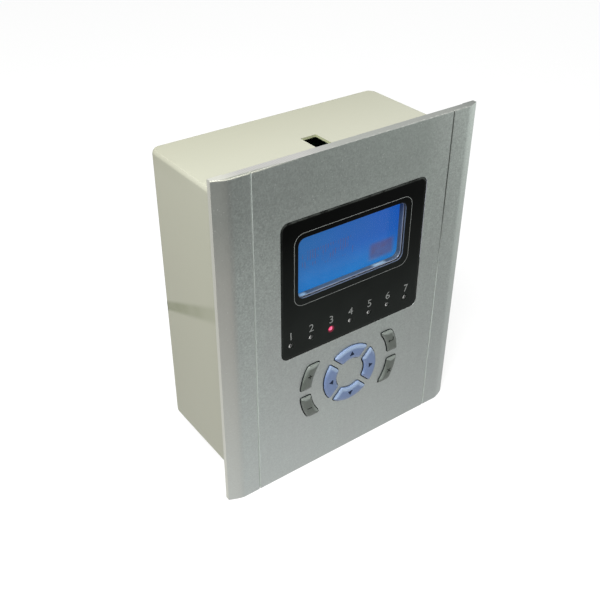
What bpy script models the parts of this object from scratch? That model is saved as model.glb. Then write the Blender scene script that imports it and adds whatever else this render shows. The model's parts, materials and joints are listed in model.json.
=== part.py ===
"""Panel-mounted protection relay, modelled as an assembly of separate pieces.

The front looks along -Y, +X is to the right and +Z is up. The extruded aluminium
panel stands on its lower edge at z = 0, and the moulded housing hangs behind it.
Everything is laid out from the face of the panel, which is y = 0 under the empty
"relay", and the empty then centres the whole depth on the world's origin.
All sizes are in metres.
"""
import math

import bmesh
import bpy
from mathutils import Matrix, Vector

# Clearances
GAP = 0.0003
OVERCUT = 0.002
BITE = 0.0004

# Front of the panel, from its lower edge upwards
KEYPAD_X = 0.0002
KEYPAD_Z = 0.0576
KEYPAD_TO_OVERLAY = 0.0294
OVERLAY_TO_LEDS = 0.0084
LEDS_TO_WINDOW = 0.0282
WINDOW_TO_OVERLAY_TOP = 0.0119
TITLE_SPACE = 0.033

# Extruded front panel
PANEL_THICKNESS = 0.006
CHANNEL_DEPTH = 0.0005
SIDE_OVERHANG = 0.0085
TOP_OVERHANG = 0.0136
BOTTOM_OVERHANG = 0.011
GROOVE_FROM_EDGE = 0.0199
GROOVE_WIDTH = 0.0009
GROOVE_DEPTH = 0.0009
WING_BEND_RUN = 0.0088
WING_TIP_THICKNESS = 0.0027
WING_BEND_CURVE = 1.35
WING_BEND_STEPS = 4

# Black overlay and its clear window
OVERLAY_X = 0.00035
OVERLAY_BORDER = 0.01245
OVERLAY_RADIUS = 0.0045
OVERLAY_THICKNESS = 0.0007
OVERLAY_SET_BACK = 0.0002
OVERLAY_SIDE_GAP = 0.0002
WINDOW_X = -0.001
WINDOW_WIDTH = 0.0732
WINDOW_HEIGHT = 0.0365
WINDOW_RADIUS = 0.0043
PANE_THICKNESS = 0.0006
PANE_OVERLAP = 0.0025

# Display module behind the window
BEZEL_SHEET = 0.0006
BEZEL_OPENING_MARGIN = 0.002
BEZEL_RIM = 0.0035
GLASS_THICKNESS = 0.0018
BACKLIGHT_THICKNESS = 0.0034
BOARD_THICKNESS = 0.0016
LCD_BOARD_SIDE_MARGIN = 0.0044
LCD_BOARD_END_MARGIN = 0.01125

# Indicator lamps
LED_COUNT = 7
LIT_LED = 3
LED_END_SPACE = 0.00765
LED_RADIUS = 0.0015
LED_FLANGE_RADIUS = 0.0019
LED_FLANGE_HEIGHT = 0.001
LED_SET_BACK = 0.0003
LED_LEG_WIDTH = 0.0005
LED_LEG_PITCH = 0.0018

# Keys
KEY_RISE = 0.0009
KEY_EDGE = 0.0007
KEY_CORNER = 0.0011
KEY_CORNER_STEPS = 3
KEY_SIDE_GAP = 0.0005
KEY_FLANGE_WIDTH = 0.0009
KEY_FLANGE_HEIGHT = 0.0012
KEY_TRAVEL = 0.0005
KEY_ARC_STEPS = 6
RING_OUTER_RADIUS = 0.0195
RING_KEY_WIDTH = 0.009
RING_HALF_SPACE = 0.0019
RING_TO_SIDE_KEYS = 0.0095
SIDE_KEY_WIDTH = 0.0073
SIDE_HALF_SPACE = 0.0026
SIDE_END_ANGLE = 37.5
SIDE_END_CORNER = 0.002
STEM_RADIUS = 0.0017
SWITCH_SIZE = 0.006
SWITCH_HEIGHT = 0.0036
SWITCH_BORE_GAP = 0.0003
STEM_REACH = 0.0016

# Display board and its fixings
DISPLAY_BOARD_MARGIN = 0.0155
DISPLAY_BOARD_SIDE_SPACE = 0.0016
DISPLAY_BOARD_BOTTOM_SPACE = 0.015
DISPLAY_BOARD_TOP_SPACE = 0.0114
STANDOFF_INSET = 0.005
STANDOFF_RADIUS = 0.003
BOARD_SCREW_RADIUS = 0.0013
BOARD_SCREW_HEAD_RADIUS = 0.0026
BOARD_SCREW_HEAD_HEIGHT = 0.0018
BOARD_SCREW_LENGTH = 0.007

# Moulded housing
HOUSING_WALL = 0.0015
HOUSING_REAR_WALL = 0.0025
HOUSING_SIDE_RADIUS = 0.005
HOUSING_REAR_RADIUS = 0.0012
HOUSING_INNER_SIDE_RADIUS = 0.003
HOUSING_INNER_RADIUS = 0.001
HOUSING_EDGE_RADIUS = 0.0025

# Slots for the mounting clamps, in the top and the bottom of the housing
CLAMP_SLOT_X = 0.0005
CLAMP_SLOT_WIDTH = 0.0104
CLAMP_SLOT_LENGTH = 0.030
CLAMP_SLOT_FROM_FRONT = 0.0082

# Corner screws of the housing
BOSS_RADIUS = 0.006
BOSS_SIDES = 12
HOUSING_SCREW_RADIUS = 0.002
HOUSING_SCREW_HEAD_RADIUS = 0.0034
HOUSING_SCREW_HEAD_HEIGHT = 0.0025
HOUSING_SCREW_SINK = 0.0045
HOUSING_SCREW_BITE = 0.003

# Slide-in boards with their terminal blocks
CARD_COLUMN_SPACING = 0.040
CARD_COLUMN_X = -0.005
CARD_BEHIND_DISPLAY = 0.006
CARD_FREE_LENGTH = 0.0437
RIB_THICKNESS = 0.0015
RIB_HEIGHT = 0.003
TERMINAL_WIDTH = 0.013
TERMINAL_DEPTH = 0.025
TERMINAL_PROUD = 0.010
TERMINAL_POLES = 12
TERMINAL_PITCH = 0.0095
TERMINAL_END = 0.002
TERMINAL_ENTRY = 0.0034
TERMINAL_ENTRY_DEPTH = 0.006
TERMINAL_WELL_RADIUS = 0.0018
TERMINAL_WELL_DEPTH = 0.0016
TERMINAL_CHAMFER = 0.003

# Components on the boards
CT_SIZE = (0.022, 0.026, 0.024)
CT_PITCH = 0.036
CT_FIRST_Z = 0.052
CT_CORE_RADIUS = 0.008
CT_CORE_HEIGHT = 0.002
RELAY_SIZE = (0.0155, 0.020, 0.0125)
RELAY_COUNT = 4
RELAY_PITCH = 0.0185
RELAY_FIRST_Z = 0.100
TRANSFORMER_SIZE = (0.030, 0.030, 0.036)
TRANSFORMER_BOBBIN_INSET = 0.004
TRANSFORMER_BOBBIN_PROUD = 0.003
TRANSFORMER_Z = 0.052
PROCESSOR_SIZE = (0.002, 0.020, 0.020)
PROCESSOR_Z = 0.080
CABLE_THICKNESS = 0.0012
CABLE_WIDTH = 0.024
CABLE_Z = 0.125
CABLE_STEPS = 8
PLUG_THICKNESS = 0.006
PLUG_LENGTH = 0.005
COMPONENT_BEVEL = 0.0008

# Heights on the panel, worked out upwards from the keypad
OVERLAY_BOTTOM = KEYPAD_Z + KEYPAD_TO_OVERLAY
LED_ROW_Z = OVERLAY_BOTTOM + OVERLAY_TO_LEDS
WINDOW_Z = LED_ROW_Z + LEDS_TO_WINDOW + WINDOW_HEIGHT / 2
OVERLAY_TOP = WINDOW_Z + WINDOW_HEIGHT / 2 + WINDOW_TO_OVERLAY_TOP
OVERLAY_Z = (OVERLAY_BOTTOM + OVERLAY_TOP) / 2
OVERLAY_HEIGHT = OVERLAY_TOP - OVERLAY_BOTTOM
PANEL_HEIGHT = OVERLAY_TOP + TITLE_SPACE
HOUSING_BOTTOM = BOTTOM_OVERHANG
HOUSING_TOP = PANEL_HEIGHT - TOP_OVERHANG
HOUSING_HEIGHT = HOUSING_TOP - HOUSING_BOTTOM
HOUSING_MIDDLE_Z = (HOUSING_BOTTOM + HOUSING_TOP) / 2
DISPLAY_BOARD_BOTTOM = HOUSING_BOTTOM + DISPLAY_BOARD_BOTTOM_SPACE
DISPLAY_BOARD_TOP = HOUSING_TOP - DISPLAY_BOARD_TOP_SPACE
CARD_BOTTOM = HOUSING_BOTTOM + HOUSING_WALL + GAP
CARD_TOP = HOUSING_TOP - HOUSING_WALL - GAP
TERMINAL_HEIGHT = TERMINAL_POLES * TERMINAL_PITCH + 2 * TERMINAL_END
TERMINAL_BOTTOM = HOUSING_MIDDLE_Z - TERMINAL_HEIGHT / 2

# Widths, worked out from the display module to the panel's edges
BEZEL_WIDTH = WINDOW_WIDTH + 2 * (BEZEL_OPENING_MARGIN + BEZEL_RIM)
BEZEL_HEIGHT = WINDOW_HEIGHT + 2 * (BEZEL_OPENING_MARGIN + BEZEL_RIM)
LCD_BOARD_WIDTH = BEZEL_WIDTH + 2 * LCD_BOARD_SIDE_MARGIN
LCD_BOARD_HEIGHT = BEZEL_HEIGHT + 2 * LCD_BOARD_END_MARGIN
DISPLAY_BOARD_WIDTH = LCD_BOARD_WIDTH + 2 * DISPLAY_BOARD_MARGIN
SCREW_INSET = HOUSING_WALL + BOSS_RADIUS * math.cos(math.pi / BOSS_SIDES) - BITE
HOUSING_WIDTH = DISPLAY_BOARD_WIDTH + 2 * (DISPLAY_BOARD_SIDE_SPACE + BOSS_RADIUS + SCREW_INSET)
PANEL_WIDTH = HOUSING_WIDTH + 2 * SIDE_OVERHANG
OVERLAY_WIDTH = WINDOW_WIDTH + 2 * OVERLAY_BORDER
LED_PITCH = (OVERLAY_WIDTH - 2 * LED_END_SPACE) / (LED_COUNT - 1)
RING_INNER_RADIUS = RING_OUTER_RADIUS - RING_KEY_WIDTH
SIDE_INNER_RADIUS = RING_OUTER_RADIUS + RING_TO_SIDE_KEYS
SIDE_OUTER_RADIUS = SIDE_INNER_RADIUS + SIDE_KEY_WIDTH

# Depths, counted from the panel's face
CHANNEL_Y = PANEL_THICKNESS - CHANNEL_DEPTH
OVERLAY_BACK_Y = OVERLAY_SET_BACK + OVERLAY_THICKNESS
RECESS_Y = OVERLAY_BACK_Y + GAP
PANE_BACK_Y = RECESS_Y + PANE_THICKNESS
BEZEL_FRONT_Y = CHANNEL_Y + GAP
GLASS_FRONT_Y = BEZEL_FRONT_Y + BEZEL_SHEET + GAP
BACKLIGHT_FRONT_Y = GLASS_FRONT_Y + GLASS_THICKNESS + GAP
BEZEL_BACK_Y = BACKLIGHT_FRONT_Y + BACKLIGHT_THICKNESS
LCD_BOARD_FRONT_Y = BEZEL_BACK_Y + GAP
DISPLAY_BOARD_FRONT_Y = LCD_BOARD_FRONT_Y + BOARD_THICKNESS + GAP
DISPLAY_BOARD_BACK_Y = DISPLAY_BOARD_FRONT_Y + BOARD_THICKNESS
CARD_FRONT_Y = DISPLAY_BOARD_BACK_Y + CARD_BEHIND_DISPLAY
TERMINAL_FRONT_Y = CARD_FRONT_Y + CARD_FREE_LENGTH
TERMINAL_BACK_Y = TERMINAL_FRONT_Y + TERMINAL_DEPTH
CARD_MIDDLE_Y = (CARD_FRONT_Y + TERMINAL_FRONT_Y) / 2
HOUSING_FRONT_Y = CHANNEL_Y + GAP
HOUSING_BACK_Y = TERMINAL_BACK_Y - TERMINAL_PROUD
CARD_BACK_Y = HOUSING_BACK_Y - HOUSING_REAR_WALL - HOUSING_INNER_RADIUS
CLAMP_SLOT_FRONT = HOUSING_FRONT_Y + CLAMP_SLOT_FROM_FRONT
TOTAL_DEPTH = TERMINAL_BACK_Y + KEY_RISE

MATERIALS = {
    "anodised_aluminium": ((0.55, 0.57, 0.55), 0.42, 0.9),
    "cream_plastic": ((0.66, 0.65, 0.55), 0.5, 0.0),
    "black_film": ((0.012, 0.013, 0.012), 0.3, 0.0),
    "clear_pane": ((0.8, 0.85, 0.9), 0.05, 0.0),
    "steel": ((0.6, 0.6, 0.6), 0.3, 1.0),
    "lcd_glass": ((0.05, 0.2, 0.65), 0.1, 0.0),
    "white_plastic": ((0.8, 0.8, 0.78), 0.4, 0.0),
    "green_board": ((0.02, 0.16, 0.07), 0.45, 0.0),
    "lit_lamp": ((0.9, 0.1, 0.2), 0.2, 0.0),
    "dark_lamp": ((0.25, 0.25, 0.24), 0.2, 0.0),
    "blue_key": ((0.31, 0.4, 0.75), 0.45, 0.0),
    "grey_key": ((0.2, 0.22, 0.18), 0.5, 0.0),
    "black_plastic": ((0.02, 0.02, 0.02), 0.45, 0.0),
    "green_plastic": ((0.03, 0.3, 0.12), 0.45, 0.0),
    "blue_relay": ((0.03, 0.1, 0.35), 0.4, 0.0),
    "laminated_core": ((0.12, 0.11, 0.11), 0.55, 0.6),
    "grey_cable": ((0.45, 0.45, 0.45), 0.5, 0.0),
}


def clear_scene():
    """Remove every object, so that the script can run in any open file."""
    for item in list(bpy.data.objects):
        bpy.data.objects.remove(item, do_unlink=True)


def material(name):
    """Return the named material, made from its colour, roughness and metallic value."""
    found = bpy.data.materials.get(name)
    if found:
        return found
    colour, roughness, metallic = MATERIALS[name]
    made = bpy.data.materials.new(name)
    made.use_nodes = True
    shader = made.node_tree.nodes["Principled BSDF"]
    shader.inputs["Base Color"].default_value = (*colour, 1.0)
    shader.inputs["Roughness"].default_value = roughness
    shader.inputs["Metallic"].default_value = metallic
    made.diffuse_color = (*colour, 1.0)
    return made


def add_object(name, shape, at, finish=None):
    """Turn a bmesh, drawn in panel coordinates, into an object with its origin at a place."""
    origin = Vector(at)
    bmesh.ops.translate(shape, verts=shape.verts, vec=-origin)
    bmesh.ops.recalc_face_normals(shape, faces=shape.faces)
    mesh = bpy.data.meshes.new(name)
    shape.to_mesh(mesh)
    shape.free()
    item = bpy.data.objects.new(name, mesh)
    item.location = origin
    item.parent = bpy.data.objects["relay"]
    bpy.context.collection.objects.link(item)
    if finish:
        mesh.materials.append(material(finish))
        mesh.shade_smooth()
        mesh.set_sharp_from_angle(angle=math.radians(28))
    return item


def combine(target, shape, operation, label):
    """Cut a shape from an object, or join it on, with a Boolean modifier."""
    tool = add_object(f"{target.name}_{label}", shape, (0, 0, 0))
    tool.hide_render = True
    tool.display_type = "WIRE"
    step = target.modifiers.new(label, "BOOLEAN")
    step.object = tool
    step.operation = operation
    step.solver = "EXACT"


def circle(radius, sides, x=0.0, z=0.0):
    """Outline of a circle in the XZ plane."""
    turns = [2 * math.pi * (i + 0.5) / sides for i in range(sides)]
    return [(x + radius * math.cos(turn), z + radius * math.sin(turn)) for turn in turns]


def rounded_rectangle(width, height, radius, x=0.0, z=0.0, steps=4):
    """Outline of a rectangle with round corners in the XZ plane."""
    outline = []
    for quarter in range(4):
        side_x = 1 if quarter in (0, 3) else -1
        side_z = 1 if quarter in (0, 1) else -1
        for step in range(steps + 1):
            turn = math.pi / 2 * (quarter + step / steps)
            outline.append((
                x + side_x * (width / 2 - radius) + radius * math.cos(turn),
                z + side_z * (height / 2 - radius) + radius * math.sin(turn),
            ))
    return outline


def loft(sections, shape=None):
    """Closed solid through outlines of equal length, each given with its y."""
    shape = shape or bmesh.new()
    rings = [[shape.verts.new((x, y, z)) for x, z in outline] for y, outline in sections]
    for near, far in zip(rings, rings[1:]):
        for i in range(len(near)):
            j = (i + 1) % len(near)
            shape.faces.new((near[i], near[j], far[j], far[i]))
    shape.faces.new(rings[0])
    shape.faces.new(list(reversed(rings[-1])))
    return shape


def prism(outline, y_front, y_back, shape=None):
    """Solid of one outline between two depths."""
    return loft([(y_front, outline), (y_back, outline)], shape)


def block(low, high, shape=None):
    """Solid box between two corners."""
    outline = [(low[0], low[2]), (high[0], low[2]), (high[0], high[2]), (low[0], high[2])]
    return prism(outline, low[1], high[1], shape)


def bevelled_block(low, high, width, steps=1):
    """Solid box with all its edges bevelled."""
    shape = block(low, high)
    bmesh.ops.bevel(shape, geom=shape.edges, offset=width, segments=steps, profile=0.5, affect="EDGES")
    return shape


def turned(profile, sides, x, z, shape=None):
    """Solid turned about a line along Y, from pairs of depth and radius."""
    return loft([(y, circle(radius, sides, x, z)) for y, radius in profile], shape)


def panel_profile():
    """Outline of the extrusion in the XY plane: grooves in front, a shallow channel behind."""
    edge = PANEL_WIDTH / 2
    groove = edge - GROOVE_FROM_EDGE
    bend_fall = PANEL_THICKNESS - WING_TIP_THICKNESS
    half = [
        (groove - GROOVE_WIDTH / 2, 0),
        (groove - GROOVE_WIDTH / 4, GROOVE_DEPTH),
        (groove + GROOVE_WIDTH / 4, GROOVE_DEPTH),
        (groove + GROOVE_WIDTH / 2, 0),
    ]
    for step in range(WING_BEND_STEPS + 1):
        along = step / WING_BEND_STEPS
        half.append((edge - WING_BEND_RUN * (1 - along), bend_fall * along ** WING_BEND_CURVE))
    half.append((edge, PANEL_THICKNESS))
    half.append((HOUSING_WIDTH / 2 + GAP, PANEL_THICKNESS))
    half.append((HOUSING_WIDTH / 2 + GAP, CHANNEL_Y))
    return half + [(-x, y) for x, y in reversed(half)]


def standoff_places():
    """Centres of the four standoffs between the panel and the display board."""
    half = DISPLAY_BOARD_WIDTH / 2 - STANDOFF_INSET
    low = DISPLAY_BOARD_BOTTOM + STANDOFF_INSET
    high = DISPLAY_BOARD_TOP - STANDOFF_INSET
    return [(-half, low), (half, low), (-half, high), (half, high)]


def housing_screw_places():
    """Centres of the four corner screws."""
    half = HOUSING_WIDTH / 2 - SCREW_INSET
    low = HOUSING_BOTTOM + SCREW_INSET
    high = HOUSING_TOP - SCREW_INSET
    return [(-half, low), (half, low), (-half, high), (half, high)]


def led_places():
    """X of each indicator lamp, centred under the window."""
    first = WINDOW_X - LED_PITCH * (LED_COUNT - 1) / 2
    return [first + LED_PITCH * i for i in range(LED_COUNT)]


def arc_key_outline(spec, inset):
    """Outline of an arc-shaped key, drawn inwards by an inset, with its corners rounded.

    A key lies between two radii and two side lines. Each side line runs parallel to a
    spoke of the keypad, at a distance from it that is negative beyond the spoke.
    """
    inner = spec["inner"] + inset
    outer = spec["outer"] - inset

    def on(radius, turn):
        return Vector((KEYPAD_X + radius * math.cos(turn), KEYPAD_Z + radius * math.sin(turn)))

    def low(radius):
        return math.radians(spec["low"]) + math.asin((spec["low_space"] + inset) / radius)

    def high(radius):
        return math.radians(spec["high"]) - math.asin((spec["high_space"] + inset) / radius)

    near_corner = max(spec["low_corner"] - inset, spec["low_corner"] / 3)
    far_corner = max(spec["high_corner"] - inset, spec["high_corner"] / 3)
    points = []

    def round_corner(before, tip, after):
        for step in range(KEY_CORNER_STEPS + 1):
            part = step / KEY_CORNER_STEPS
            points.append(before * (1 - part) ** 2 + tip * 2 * part * (1 - part) + after * part ** 2)

    def on_low(radius):
        return on(radius, low(radius))

    def on_high(radius):
        return on(radius, high(radius))

    near_out, far_out = low(outer) + near_corner / outer, high(outer) - far_corner / outer
    near_in, far_in = low(inner) + near_corner / inner, high(inner) - far_corner / inner
    round_corner(on_low(outer - near_corner), on_low(outer), on(outer, near_out))
    for step in range(1, KEY_ARC_STEPS):
        points.append(on(outer, near_out + (far_out - near_out) * step / KEY_ARC_STEPS))
    round_corner(on(outer, far_out), on_high(outer), on_high(outer - far_corner))
    round_corner(on_high(inner + far_corner), on_high(inner), on(inner, far_in))
    for step in range(1, KEY_ARC_STEPS):
        points.append(on(inner, far_in + (near_in - far_in) * step / KEY_ARC_STEPS))
    round_corner(on(inner, near_in), on_low(inner), on_low(inner + near_corner))
    return [(point.x, point.y) for point in points]


def key_specs():
    """Every key by name: the four arrows of the ring and the four keys beside it."""
    specs = {}
    for name, turn in (("right", 0), ("up", 90), ("left", 180), ("down", 270)):
        specs[name] = {
            "low": turn - 45, "high": turn + 45, "middle": turn,
            "low_space": RING_HALF_SPACE, "high_space": RING_HALF_SPACE,
            "low_corner": KEY_CORNER, "high_corner": KEY_CORNER,
            "inner": RING_INNER_RADIUS, "outer": RING_OUTER_RADIUS, "finish": "blue_key",
        }
    end_height = (SIDE_INNER_RADIUS + SIDE_OUTER_RADIUS) / 2 * math.sin(math.radians(SIDE_END_ANGLE))
    for name, spoke, away in (("enter", 0, 1), ("cancel", 0, -1), ("plus", 180, -1), ("minus", 180, 1)):
        specs[name] = {
            "low": spoke, "high": spoke, "middle": spoke + away * SIDE_END_ANGLE / 2,
            "low_space": SIDE_HALF_SPACE if away > 0 else -end_height,
            "high_space": -end_height if away > 0 else SIDE_HALF_SPACE,
            "low_corner": KEY_CORNER if away > 0 else SIDE_END_CORNER,
            "high_corner": SIDE_END_CORNER if away > 0 else KEY_CORNER,
            "inner": SIDE_INNER_RADIUS, "outer": SIDE_OUTER_RADIUS, "finish": "grey_key",
        }
    return specs


def key_centre(spec):
    """Centre of a key's stem and of the switch behind it."""
    radius = (spec["inner"] + spec["outer"]) / 2
    turn = math.radians(spec["middle"])
    return KEYPAD_X + radius * math.cos(turn), KEYPAD_Z + radius * math.sin(turn)


def make_front_panel():
    """Extruded panel with its recess, window, key and lamp openings and standoffs."""
    shape = bmesh.new()
    profile = panel_profile()
    bottom = [shape.verts.new((x, y, 0)) for x, y in profile]
    top = [shape.verts.new((x, y, PANEL_HEIGHT)) for x, y in profile]
    for i in range(len(profile)):
        j = (i + 1) % len(profile)
        shape.faces.new((bottom[i], bottom[j], top[j], top[i]))
    shape.faces.new(bottom)
    shape.faces.new(list(reversed(top)))
    panel = add_object("front_panel", shape, (0, 0, 0), "anodised_aluminium")

    standoffs = bmesh.new()
    for x, z in standoff_places():
        prism(circle(STANDOFF_RADIUS, 10, x, z), CHANNEL_Y - BITE, DISPLAY_BOARD_FRONT_Y - GAP, standoffs)
    combine(panel, standoffs, "UNION", "standoffs")

    recess = prism(rounded_rectangle(
        OVERLAY_WIDTH + 2 * OVERLAY_SIDE_GAP, OVERLAY_HEIGHT + 2 * OVERLAY_SIDE_GAP,
        OVERLAY_RADIUS + OVERLAY_SIDE_GAP, OVERLAY_X, OVERLAY_Z), -OVERCUT, RECESS_Y)
    combine(panel, recess, "DIFFERENCE", "overlay_recess")

    side = 2 * (PANE_OVERLAP + GAP)
    pocket = prism(rounded_rectangle(
        WINDOW_WIDTH + side, WINDOW_HEIGHT + side, WINDOW_RADIUS + side / 2,
        WINDOW_X, WINDOW_Z), OVERLAY_BACK_Y, PANE_BACK_Y + GAP)
    combine(panel, pocket, "DIFFERENCE", "pane_pocket")

    openings = prism(rounded_rectangle(
        WINDOW_WIDTH, WINDOW_HEIGHT, WINDOW_RADIUS, WINDOW_X, WINDOW_Z), RECESS_Y, CHANNEL_Y + OVERCUT)
    for x in led_places():
        prism(circle(LED_RADIUS + GAP, 12, x, LED_ROW_Z), OVERLAY_BACK_Y, CHANNEL_Y + OVERCUT, openings)
    for spec in key_specs().values():
        prism(arc_key_outline(spec, -KEY_SIDE_GAP), -OVERCUT, CHANNEL_Y + OVERCUT, openings)
    combine(panel, openings, "DIFFERENCE", "openings")

    threads = bmesh.new()
    for x, z in housing_screw_places():
        prism(circle(HOUSING_SCREW_RADIUS + GAP, 10, x, z),
              CHANNEL_Y - HOUSING_SCREW_BITE - GAP, CHANNEL_Y + OVERCUT, threads)
    thread_front = DISPLAY_BOARD_BACK_Y + GAP - BOARD_SCREW_LENGTH - GAP
    for x, z in standoff_places():
        prism(circle(BOARD_SCREW_RADIUS + GAP, 8, x, z),
              thread_front, DISPLAY_BOARD_FRONT_Y + OVERCUT, threads)
    combine(panel, threads, "DIFFERENCE", "threads")


def make_overlay():
    """Black overlay film with its window and a hole over each lamp, and the clear pane."""
    film = add_object("display_overlay", prism(rounded_rectangle(
        OVERLAY_WIDTH, OVERLAY_HEIGHT, OVERLAY_RADIUS, OVERLAY_X, OVERLAY_Z),
        OVERLAY_SET_BACK, OVERLAY_BACK_Y), (OVERLAY_X, OVERLAY_SET_BACK, OVERLAY_Z), "black_film")
    holes = prism(rounded_rectangle(
        WINDOW_WIDTH, WINDOW_HEIGHT, WINDOW_RADIUS, WINDOW_X, WINDOW_Z), -OVERCUT, OVERCUT)
    for x in led_places():
        prism(circle(LED_RADIUS + GAP, 12, x, LED_ROW_Z), -OVERCUT, OVERCUT, holes)
    combine(film, holes, "DIFFERENCE", "holes")

    add_object("window_pane", prism(rounded_rectangle(
        WINDOW_WIDTH + 2 * PANE_OVERLAP, WINDOW_HEIGHT + 2 * PANE_OVERLAP,
        WINDOW_RADIUS + PANE_OVERLAP, WINDOW_X, WINDOW_Z),
        RECESS_Y, PANE_BACK_Y), (WINDOW_X, RECESS_Y, WINDOW_Z), "clear_pane")


def make_display_module():
    """Liquid crystal module: steel frame, glass, light guide and its own board."""
    open_width = WINDOW_WIDTH + 2 * BEZEL_OPENING_MARGIN
    open_height = WINDOW_HEIGHT + 2 * BEZEL_OPENING_MARGIN
    half_w = BEZEL_WIDTH / 2
    half_h = BEZEL_HEIGHT / 2
    at = (WINDOW_X, BEZEL_FRONT_Y, WINDOW_Z)

    def centred(half_x, half_z, y_front, y_back):
        return block((WINDOW_X - half_x, y_front, WINDOW_Z - half_z),
                     (WINDOW_X + half_x, y_back, WINDOW_Z + half_z))

    bezel = add_object("lcd_bezel", centred(half_w, half_h, BEZEL_FRONT_Y, BEZEL_BACK_Y), at, "steel")
    combine(bezel, centred(half_w - BEZEL_SHEET, half_h - BEZEL_SHEET,
                           BEZEL_FRONT_Y + BEZEL_SHEET, BEZEL_BACK_Y + OVERCUT), "DIFFERENCE", "inside")
    combine(bezel, centred(open_width / 2, open_height / 2,
                           BEZEL_FRONT_Y - OVERCUT, GLASS_FRONT_Y), "DIFFERENCE", "opening")

    inner_w = half_w - BEZEL_SHEET - GAP
    inner_h = half_h - BEZEL_SHEET - GAP
    add_object("lcd_glass", centred(inner_w, inner_h, GLASS_FRONT_Y, GLASS_FRONT_Y + GLASS_THICKNESS),
               (WINDOW_X, GLASS_FRONT_Y, WINDOW_Z), "lcd_glass")
    add_object("lcd_backlight", centred(inner_w, inner_h, BACKLIGHT_FRONT_Y, BEZEL_BACK_Y),
               (WINDOW_X, BACKLIGHT_FRONT_Y, WINDOW_Z), "white_plastic")
    add_object("lcd_board", centred(LCD_BOARD_WIDTH / 2, LCD_BOARD_HEIGHT / 2, LCD_BOARD_FRONT_Y,
                                    LCD_BOARD_FRONT_Y + BOARD_THICKNESS),
               (WINDOW_X, LCD_BOARD_FRONT_Y, WINDOW_Z), "green_board")


def make_leds():
    """Row of domed lamps, each on two legs that reach the display board."""
    flange_y = CHANNEL_Y + GAP
    for number, x in enumerate(led_places(), start=1):
        finish = "lit_lamp" if number == LIT_LED else "dark_lamp"
        dome = [
            (LED_SET_BACK, LED_RADIUS * 0.35),
            (LED_SET_BACK + LED_RADIUS * 0.12, LED_RADIUS * 0.7),
            (LED_SET_BACK + LED_RADIUS * 0.4, LED_RADIUS * 0.93),
            (LED_SET_BACK + LED_RADIUS * 0.8, LED_RADIUS),
            (flange_y, LED_RADIUS),
            (flange_y, LED_FLANGE_RADIUS),
            (flange_y + LED_FLANGE_HEIGHT, LED_FLANGE_RADIUS),
        ]
        lamp = add_object(f"led_{number}", turned(dome, 12, x, LED_ROW_Z), (x, 0, LED_ROW_Z), finish)
        legs = bmesh.new()
        for side in (-0.5, 0.5):
            middle = x + side * LED_LEG_PITCH
            block((middle - LED_LEG_WIDTH / 2, flange_y + LED_FLANGE_HEIGHT / 2, LED_ROW_Z - LED_LEG_WIDTH / 2),
                  (middle + LED_LEG_WIDTH / 2, DISPLAY_BOARD_FRONT_Y - GAP, LED_ROW_Z + LED_LEG_WIDTH / 2), legs)
        combine(lamp, legs, "UNION", "legs")


def make_keys():
    """Arc-shaped keys, each with a flange behind the panel and a stem into its switch."""
    flange_y = CHANNEL_Y + GAP
    switch_front = DISPLAY_BOARD_FRONT_Y - GAP - SWITCH_HEIGHT
    stem_end = switch_front + STEM_REACH
    for name, spec in key_specs().items():
        x, z = key_centre(spec)
        crown = [
            (-KEY_RISE, arc_key_outline(spec, KEY_EDGE)),
            (-KEY_RISE + KEY_EDGE * 0.25, arc_key_outline(spec, KEY_EDGE * 0.3)),
            (-KEY_RISE + KEY_EDGE, arc_key_outline(spec, 0)),
            (flange_y, arc_key_outline(spec, 0)),
            (flange_y, arc_key_outline(spec, -KEY_FLANGE_WIDTH)),
            (flange_y + KEY_FLANGE_HEIGHT, arc_key_outline(spec, -KEY_FLANGE_WIDTH)),
        ]
        key = add_object(f"key_{name}", loft(crown), (x, 0, z), spec["finish"])
        stem = prism(circle(STEM_RADIUS, 10, x, z), flange_y + KEY_FLANGE_HEIGHT / 2, stem_end)
        combine(key, stem, "UNION", "stem")

        half = SWITCH_SIZE / 2
        body = bevelled_block((x - half, switch_front, z - half),
                              (x + half, DISPLAY_BOARD_FRONT_Y - GAP, z + half), COMPONENT_BEVEL / 2)
        switch = add_object(f"switch_{name}", body, (x, DISPLAY_BOARD_FRONT_Y, z), "black_plastic")
        bore = prism(circle(STEM_RADIUS + SWITCH_BORE_GAP, 10, x, z),
                     switch_front - OVERCUT, stem_end + KEY_TRAVEL + GAP)
        combine(switch, bore, "DIFFERENCE", "bore")


def make_display_board():
    """Board behind the panel that carries the lamps and switches, with its four screws."""
    half = DISPLAY_BOARD_WIDTH / 2
    board = add_object("display_board", block(
        (-half, DISPLAY_BOARD_FRONT_Y, DISPLAY_BOARD_BOTTOM),
        (half, DISPLAY_BOARD_BACK_Y, DISPLAY_BOARD_TOP)),
        (0, DISPLAY_BOARD_FRONT_Y, DISPLAY_BOARD_BOTTOM), "green_board")
    holes = bmesh.new()
    head_y = DISPLAY_BOARD_BACK_Y + GAP
    for number, (x, z) in enumerate(standoff_places(), start=1):
        prism(circle(BOARD_SCREW_RADIUS + GAP, 8, x, z), DISPLAY_BOARD_FRONT_Y - OVERCUT,
              DISPLAY_BOARD_BACK_Y + OVERCUT, holes)
        profile = [
            (head_y - BOARD_SCREW_LENGTH, BOARD_SCREW_RADIUS),
            (head_y, BOARD_SCREW_RADIUS),
            (head_y, BOARD_SCREW_HEAD_RADIUS),
            (head_y + BOARD_SCREW_HEAD_HEIGHT * 0.7, BOARD_SCREW_HEAD_RADIUS),
            (head_y + BOARD_SCREW_HEAD_HEIGHT, BOARD_SCREW_HEAD_RADIUS * 0.7),
        ]
        add_object(f"board_screw_{number}", turned(profile, 10, x, z), (x, head_y, z), "steel")
    combine(board, holes, "DIFFERENCE", "screw_holes")


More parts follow.
